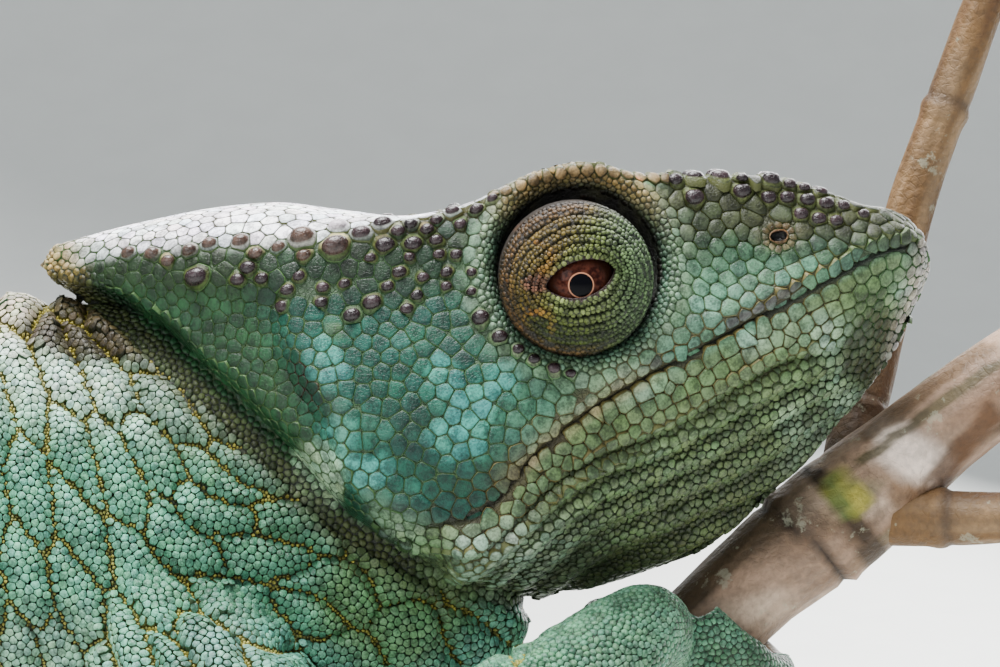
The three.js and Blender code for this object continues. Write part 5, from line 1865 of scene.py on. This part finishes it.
@lru_cache
def eye_material(ring_colour):
    """A wet dark eye: a black pupil with a thin golden pink ring in a red-brown iris."""
    material, tree, shader = new_material("wet_eye", roughness=0.1, Specular_IOR_Level=0.04)
    fed(tree, shader, Coat_Weight=0.06, Coat_Roughness=0.02)
    away = attribute(tree, "from_axis")
    place = own_place(tree)
    speck = noise_over(tree, place, 2600.0, 3.0)
    iris = mixed(tree, ramped(tree, speck, 0.35, 0.65), (0.016, 0.004, 0.003, 1), (0.07, 0.02, 0.012, 1))
    iris = mixed(tree, ramped(tree, away, 1.5, 2.3), iris, (0.02, 0.007, 0.004, 1))
    ring = maths(tree, "MULTIPLY", ramped(tree, away, 0.90, 0.94), ramped(tree, away, 1.05, 0.98))
    lit = mixed(tree, ring, iris, (*ring_colour, 1))
    pupil = ramped(tree, away, 0.93, 0.88)
    fed(tree, shader, Base_Color=mixed(tree, pupil, lit, (0.002, 0.002, 0.003, 1)))
    return material


@lru_cache
def claw_material():
    """Grey-brown horn with fine lines."""
    material, tree, shader = new_material("claw_horn", roughness=0.32)
    place = own_place(tree)
    grain = placed_group(tree, streak_group(), Place=place, Scale=900.0)
    colour = mixed(tree, grain.outputs[0], (0.075, 0.055, 0.04, 1), (0.21, 0.17, 0.12, 1))
    fed(tree, shader, Base_Color=colour)
    bumped(tree, shader, grain.outputs[1], 0.00003)
    return material


@lru_cache
def bark_material():
    """Dry bark: the colour worked out for it, mottled, with fine cracks and lichen flecks."""
    material, tree, shader = new_material("dry_bark", Specular_IOR_Level=0.35)
    spotty, mask = mottled(tree, attribute(tree, "bark", "Color"), 260.0, 1800.0, 0.5)
    place = own_place(tree)
    lichen = noise_over(tree, place, 420.0, 5.0, Roughness=0.7)
    spots = maths(tree, "MULTIPLY", ramped(tree, lichen, 0.6, 0.66), 0.4)
    tinted = mixed(tree, spots, spotty, (0.36, 0.37, 0.27, 1))
    fed(tree, shader, Base_Color=tinted, Roughness=ramped(tree, mask, 0.3, 0.7, 0.55, 0.8))
    wrinkled(tree, shader, 1500.0, 1700.0, 0.1, 0.00018)
    return material


@lru_cache
def cut_wood_material():
    """The sawn ends of the branch: pale wood with growth rings round its heart."""
    material, tree, shader = new_material("sawn_wood", roughness=0.72)
    away = attribute(tree, "from_heart")
    place = own_place(tree)
    wobble = noise_over(tree, place, 500.0, 3.0)
    turns = maths(tree, "ADD", maths(tree, "MULTIPLY", away, 44.0), maths(tree, "MULTIPLY", wobble, 3.0))
    rings = maths(tree, "MULTIPLY", maths(tree, "ADD", maths(tree, "SINE", turns), 1.0), 0.5)
    colour = mixed(tree, rings, (0.30, 0.19, 0.10, 1), (0.60, 0.45, 0.27, 1))
    rim = ramped(tree, away, 0.9, 0.97)
    fed(tree, shader, Base_Color=mixed(tree, rim, colour, (0.10, 0.06, 0.035, 1)))
    bumped(tree, shader, rings, 0.00006)
    return material


@lru_cache
def steel_material():
    """Steel rod brushed round: fine lines across its length and soft smudges in its gloss."""
    material, tree, shader = new_material("brushed_steel", Metallic=1.0)
    place = own_place(tree)
    drawn = add_node(tree, "ShaderNodeMapping", Vector=place, Scale=(0.05, 0.05, 1.0))
    grain = placed_group(tree, streak_group(), Place=drawn.outputs[0], Scale=1400.0)
    metal = mixed(tree, grain.outputs[1], (0.26, 0.26, 0.27, 1), (0.34, 0.34, 0.35, 1))
    fed(tree, shader, Base_Color=metal, Roughness=ramped(tree, grain.outputs[0], 0.0, 1.0, 0.36, 0.46))
    bumped(tree, shader, grain.outputs[1], 0.000003)
    return material


@lru_cache
def base_material(colour):
    """Dark hardwood under a satin varnish, its grain drawn out along the base."""
    material, tree, shader = new_material("varnished_wood", Coat_Weight=0.35, Coat_Roughness=0.18)
    place = own_place(tree)
    drawn = add_node(tree, "ShaderNodeMapping", Vector=place, Scale=(0.07, 1.0, 0.6))
    grain = placed_group(tree, streak_group(), Place=drawn.outputs[0], Scale=240.0)
    paler = (colour[0] * 2.4, colour[1] * 2.3, colour[2] * 2.2, 1)
    broad = mixed(tree, grain.outputs[0], (*colour, 1), paler)
    pores = mixed(tree, maths(tree, "MULTIPLY", grain.outputs[1], 0.35), broad, (0.012, 0.007, 0.004, 1))
    fed(tree, shader, Base_Color=pores, Roughness=ramped(tree, grain.outputs[1], 0.0, 1.0, 0.32, 0.46))
    bumped(tree, shader, grain.outputs[1], 0.00003)
    return material


# ---- Building ---------------------------------------------------------------------------------
HIDE_NODES = [n for n in frame["nodes"] if not n.startswith(("eye", "perch", "stand"))]


def finished(mesh, material, replaced=()):
    """Puts a finished piece in the scene: its material, its body and the nodes it replaces."""
    piece = placed_object(mesh.name, mesh)
    mesh.materials.clear()
    mesh.materials.append(material)
    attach(piece, "root")
    if replaced:
        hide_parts(*replaced)


@lru_cache
def bare_hide():
    """The whole skin as one closed mesh without relief, and the same as arrays."""
    shells = [capped(trunk_surface(70, 48))]
    for limb in LIMBS.values():
        shells += [capped(rings) for rings in limb_shells(limb)]
    body = remeshed("body", shells, 0.95, 7)
    head = mesh_from("head", *capped(head_surface()))
    bare_tail = lambda t: tail_radius(t) - COAT_DEPTH * 0.8
    tail = mesh_from("tail", *capped(swept(tail_line, bare_tail, 260, 18, rounded=0.01)))
    hands = []
    for limb in LIMBS.values():
        palm = capped(limb_shells(limb)[1])
        hands.append(remeshed("hand", [palm, *(capped(rings) for rings in toes_of(limb))], 0.55, 4))
    mesh = united("chameleon_skin", [body, head, tail, *hands])
    return mesh, Hide(mesh)


@lru_cache
def seeds(width, tall):
    return planted(bare_hide()[1], width, tall)


def build_skin(settings):
    mesh, hide = bare_hide()
    points = hide.points.copy()
    points -= (0.45 * furrow_strength(points))[:, None] * hide.normals
    mesh.vertices.foreach_set("co", ((points + ANIMAL_AT) * MM).astype(np.float32).ravel())
    mesh.update()
    # painted shade: the skin's colours darkened, as it shows only deep in the grooves between scales
    colour = blend(markings_and_painted_light(hide.points) * 0.3, seams_and_painted_shade(hide.points) * 0.6, np.array(0.7))
    add_colours(mesh, "hide", colour * list(settings.tint))
    finished(mesh, skin_material(), HIDE_NODES)


def build_coat(settings, regions):
    """The scales of some regions, one piece for each side of the body or each limb."""
    all_seeds = seeds(settings.scale_size, settings.scale_height)
    rough = settings.roughness
    for name in regions:
        finish = ("body_scales", rough + 0.02, 0.45, 0.9)
        if name in ("head", "throat"):
            finish = ("head_scales", rough, 0.55)
        some = np.flatnonzero(all_seeds["region"] == COAT_REGIONS.index(name))
        sides = {"": some}
        if name not in LIMBS:
            right = all_seeds["points"][some][:, 1] < 0
            sides = {"_right": some[right], "_left": some[~right]}
        for side, pick in sides.items():
            groups = {"": pick}
            if name in ("neck", "shoulder"):
                grain = all_seeds["kind"][pick] == KINDS.index("grain")
                groups = {"": pick[~grain], "_furrows": pick[grain]}
            for part, chosen in groups.items():
                mesh = scale_piece(f"coat_{name}{side}{part}", all_seeds, chosen, list(settings.tint))
                finished(mesh, scale_material(*finish))


def build_eyes(settings):
    tint = list(settings.tint)
    for side, name in ((-1, "right"), (1, "left")):
        points, quads, tris = capped(turret_skin(side))
        mesh = mesh_from(f"turret_skin_{name}", points, quads, tris)
        local = points - aimed(np.zeros((1, 3)), side)
        # painted shade: the turret's skin darkened, as it shows only in the grooves between granules
        colour = turret_markings(local[:, [0, 2]]) * 0.2 * tint
        colour[-int(0.1 * len(colour)):] = paint(40, 22, 17)
        add_colours(mesh, "hide", colour)
        finished(mesh, skin_material(), [f"eye_turret_{name}"])
        grains = turret_seeds(side)
        coat = scale_piece(f"coat_turret_{name}", grains, np.arange(len(grains["points"])), tint)
        granules = scale_material("turret_granules", settings.roughness + 0.04, 0.8)
        finished(coat, granules)
        rings, away = eyeball_surface(side)
        ball = mesh_from(f"eye_{name}", *capped(rings))
        add_values(ball, "from_axis", np.concatenate([away.ravel(), [0, 9]]))
        finished(ball, eye_material(tuple(settings.iris_ring)), [f"eyeball_{name}"])


def build_claws():
    for name, limb in LIMBS.items():
        mesh = mesh_from(f"claws_{name}", *joined([capped(r) for r in toes_of(limb, "claw")]))
        finished(mesh, claw_material())


def branch_piece(name, bark, colour_of, base):
    """A length of branch with its bark, and its two ends sawn flat as a second material."""
    points, quads, tris = capped(bark[0])
    colour = colour_of(*bark, base).reshape(-1, 3)
    mesh = mesh_from(name, points, quads, tris)
    add_colours(mesh, "bark", np.concatenate([colour, np.tile(paint(186, 160, 124), (2, 1))]))
    add_values(mesh, "from_heart", np.concatenate([np.ones(len(points) - 2), [0, 0]]))
    finished(mesh, bark_material(), [f"perch_{name}"])
    mesh.materials.append(cut_wood_material())
    sawn = np.arange(len(mesh.polygons)) >= len(quads)
    mesh.polygons.foreach_set("material_index", sawn.astype(np.int32))
    mesh.polygons.foreach_set("use_smooth", ~sawn)


def build_branch(settings):
    base = np.array(settings.bark_colour)
    branch_piece("branch", branch_bark(), bark_colour, base)
    for name, (path, thick, thin) in SHOOTS.items():
        branch_piece(f"shoot_{name}", shoot_bark(path, thick, thin), shoot_colour, base)


# ---- Settings a user may change ---------------------------------------------------------------
class ChameleonAnimalSettings(bpy.types.PropertyGroup):
    """Size, height, tint and gloss of the scales, and the ring in the eye."""

    scale_size: bpy.props.FloatProperty(
        name="Scale size", description="Width of the free scales against their usual one",
        subtype="FACTOR", min=0.7, max=2, default=1,
    )
    scale_height: bpy.props.FloatProperty(
        name="Scale height", description="Height of the scales against their usual one",
        subtype="FACTOR", min=0.2, max=2, default=1,
    )
    tint: bpy.props.FloatVectorProperty(
        name="Tint", description="Colour that dyes all markings of skin and scales",
        subtype="COLOR", size=3, min=0, max=1, default=(1, 1, 1),
    )
    roughness: bpy.props.FloatProperty(
        name="Scale roughness", description="Roughness of the glossiest scales that aren't domed",
        subtype="FACTOR", min=0, max=0.8, default=0.32,
    )
    iris_ring: bpy.props.FloatVectorProperty(
        name="Iris ring", description="Colour of the thin ring round the pupil",
        subtype="COLOR", size=3, min=0, max=1, default=(0.42, 0.19, 0.11),
    )


class ChameleonPerchSettings(bpy.types.PropertyGroup):
    """Finish of the branch and the display stand."""

    bark_colour: bpy.props.FloatVectorProperty(
        name="Bark", description="Middle tone of the branch's bark",
        subtype="COLOR", size=3, min=0, max=1, default=(0.287, 0.188, 0.127),
    )
    wood_colour: bpy.props.FloatVectorProperty(
        name="Base wood", description="Colour of the base's dark wood grain",
        subtype="COLOR", size=3, min=0, max=1, default=(0.045, 0.022, 0.012),
    )


class ChameleonStageSettings(bpy.types.PropertyGroup):
    """The floor, the lights and the camera."""

    floor_colour: bpy.props.FloatVectorProperty(
        name="Floor", description="Colour of the floor and backdrop",
        subtype="COLOR", size=3, min=0, max=1, default=(0.72, 0.73, 0.70),
    )
    key_power: bpy.props.FloatProperty(
        name="Top light", description="Power of the large soft light overhead",
        subtype="POWER", min=0, default=20.0,
    )
    fill_power: bpy.props.FloatProperty(
        name="Front light", description="Power of the soft light beside the camera",
        subtype="POWER", min=0, default=4.0,
    )
    sky_strength: bpy.props.FloatProperty(
        name="Sky", description="Strength of the even pale light from all round",
        min=0, default=0.6,
    )
    camera_distance: bpy.props.FloatProperty(
        name="Camera distance", description="From the camera to the middle of the head",
        subtype="DISTANCE", unit="LENGTH", min=0.1, default=0.6,
    )
    camera_height: bpy.props.FloatProperty(
        name="Camera elevation", description="Angle of the view above level",
        subtype="ANGLE", unit="ROTATION", default=math.radians(1.5),
    )
    view_width: bpy.props.FloatProperty(
        name="View width", description="Width that the picture shows at the middle of the head",
        subtype="DISTANCE", unit="LENGTH", min=0.01, default=0.08,
    )


# ---- Operators --------------------------------------------------------------------------------
class BuildSkin(bpy.types.Operator):
    """Build the bare skin of head, body, limbs and tail"""

    bl_idname = "chameleon.skin"
    bl_label = "Skin"

    def execute(self, context):
        build_skin(context.scene.chameleon_animal)
        return {"FINISHED"}


class BuildHeadScales(bpy.types.Operator):
    """Build the scales of the head and throat"""

    bl_idname = "chameleon.head_scales"
    bl_label = "Head scales"

    def execute(self, context):
        build_coat(context.scene.chameleon_animal, ["head"])
        build_coat(context.scene.chameleon_animal, ["throat"])
        return {"FINISHED"}


class BuildBodyScales(bpy.types.Operator):
    """Build the scales of the neck, trunk and tail"""

    bl_idname = "chameleon.body_scales"
    bl_label = "Body scales"

    def execute(self, context):
        build_coat(context.scene.chameleon_animal, ["neck", "shoulder", "trunk", "tail"])
        return {"FINISHED"}


class BuildLimbScales(bpy.types.Operator):
    """Build the scales of the four limbs"""

    bl_idname = "chameleon.limb_scales"
    bl_label = "Limb scales"

    def execute(self, context):
        build_coat(context.scene.chameleon_animal, list(LIMBS))
        return {"FINISHED"}


class BuildEyes(bpy.types.Operator):
    """Build the eye turrets with their granules, and the eyeballs"""

    bl_idname = "chameleon.eyes"
    bl_label = "Eyes"

    def execute(self, context):
        build_eyes(context.scene.chameleon_animal)
        return {"FINISHED"}


class BuildClaws(bpy.types.Operator):
    """Build the claws of all toes"""

    bl_idname = "chameleon.claws"
    bl_label = "Claws"

    def execute(self, context):
        build_claws()
        return {"FINISHED"}


class BuildBranch(bpy.types.Operator):
    """Build the branch and its two shoots with bark and sawn ends"""

    bl_idname = "chameleon.branch"
    bl_label = "Branch"

    def execute(self, context):
        build_branch(context.scene.chameleon_perch)
        return {"FINISHED"}


class FinishStand(bpy.types.Operator):
    """Give the stand's base and rods their materials"""

    bl_idname = "chameleon.stand"
    bl_label = "Stand"

    def execute(self, context):
        wood = base_material(tuple(context.scene.chameleon_perch.wood_colour))
        for name in frame["nodes"]:
            if name.startswith("stand_"):
                finish = wood if name == "stand_base" else steel_material()
                bpy.data.objects[name].data.materials.clear()
                bpy.data.objects[name].data.materials.append(finish)
        return {"FINISHED"}


def sweep_surface(rows=96, wide=4.0, front=-2.2, back=1.5, bend=1.0, high=3.2):
    """Floor and backdrop in one: a strip that runs back, bends up in a quarter circle and rises."""
    turn = np.linspace(0, np.pi / 2, rows)
    line = np.concatenate([
        [[front, 0.0]],
        np.stack([back + bend * np.sin(turn), bend - bend * np.cos(turn)], -1),
        [[back + bend, high]],
    ])
    left, right = np.full((len(line), 1), -wide), np.full((len(line), 1), wide)
    return np.stack([np.concatenate([left, line], 1), np.concatenate([right, line], 1)], axis=1)


class BuildStage(bpy.types.Operator):
    """Build the floor with its backdrop, the soft lights and the camera"""

    bl_idname = "chameleon.stage"
    bl_label = "Stage"

    def execute(self, context):
        settings = context.scene.chameleon_stage
        rings = sweep_surface()
        mesh = bpy.data.meshes.new("floor")
        faces = grid_faces(len(rings), 2, closed=False)
        mesh.from_pydata(rings.reshape(-1, 3).tolist(), [], faces.tolist())
        mesh.polygons.foreach_set("use_smooth", np.ones(len(mesh.polygons), bool))
        floor = placed_object("floor", mesh)
        material, tree, shader = new_material("floor_paper", roughness=0.9)
        place = own_place(tree)
        tone = noise_over(tree, place, 60.0, 4.0)
        pale = (*settings.floor_colour, 1)
        darker = (*(0.97 * c for c in pale[:3]), 1)
        fed(tree, shader, Base_Color=mixed(tree, ramped(tree, tone, 0.3, 0.7), pale, darker))
        mesh.materials.append(material)
        world = bpy.data.worlds.new("studio")
        context.scene.world = world
        world.use_nodes = True
        background = world.node_tree.nodes["Background"]
        background.inputs["Color"].default_value = (0.86, 0.93, 1.0, 1)
        background.inputs["Strength"].default_value = settings.sky_strength
        self.light("top_light", (-0.04, -0.06, 0.8), (0.085, 0, 0.15), (0.5, 0.4), settings.key_power)
        self.light("front_light", (-0.45, -0.75, 0.45), (0.085, 0, 0.15), (0.5, 0.5), settings.fill_power)
        self.light("back_light", (0.3, 1.1, 0.5), (0.085, 0.9, 0.2), (1.2, 1.2), 36.0)
        camera = bpy.data.objects.new("camera", bpy.data.cameras.new("camera"))
        context.scene.collection.objects.link(camera)
        aim = Vector(ANIMAL_AT * MM)
        up = settings.camera_height
        back = Vector((0, -math.cos(up), math.sin(up)))
        camera.location = aim + back * settings.camera_distance
        camera.rotation_euler = back.to_track_quat("Z", "Y").to_euler()
        camera.data.sensor_width = 36.0
        camera.data.lens = 36.0 * settings.camera_distance / settings.view_width
        camera.data.clip_start, camera.data.clip_end = 0.01, 20
        context.scene.camera = camera
        return {"FINISHED"}

    def light(self, name, place, aim, size, power):
        data = bpy.data.lights.new(name, "AREA")
        data.shape, data.size, data.size_y, data.energy = "RECTANGLE", size[0], size[1], power
        lamp = bpy.data.objects.new(name, data)
        bpy.context.scene.collection.objects.link(lamp)
        lamp.location = place
        lamp.rotation_euler = (Vector(place) - Vector(aim)).to_track_quat("Z", "Y").to_euler()


OPERATORS = (
    BuildStage, BuildSkin, BuildHeadScales, BuildBodyScales, BuildLimbScales, BuildEyes, BuildClaws,
    BuildBranch, FinishStand,
)


class ChameleonPanel(bpy.types.Panel):
    """The builders and settings in the 3D view's sidebar"""

    bl_idname = "VIEW3D_PT_chameleon"
    bl_label = "Chameleon"
    bl_space_type = "VIEW_3D"
    bl_region_type = "UI"
    bl_category = "Chameleon"

    def draw(self, context):
        for operator in OPERATORS:
            self.layout.operator(operator.bl_idname)
        for name in SETTINGS:
            group = getattr(context.scene, name)
            box = self.layout.box()
            for key in group.__annotations__:
                box.prop(group, key)


SETTINGS = {
    "chameleon_animal": ChameleonAnimalSettings, "chameleon_perch": ChameleonPerchSettings,
    "chameleon_stage": ChameleonStageSettings,
}
CLASSES = (*SETTINGS.values(), *OPERATORS, ChameleonPanel)


def register():
    for cls in CLASSES:
        bpy.utils.register_class(cls)
    for name, cls in SETTINGS.items():
        setattr(bpy.types.Scene, name, bpy.props.PointerProperty(type=cls))


def unregister():
    for name in SETTINGS:
        delattr(bpy.types.Scene, name)
    for cls in reversed(CLASSES):
        bpy.utils.unregister_class(cls)


def main():
    register()
    for operator in OPERATORS:
        group, name = operator.bl_idname.split(".")
        getattr(getattr(bpy.ops, group), name)()


if __name__ == "__main__":
    main()
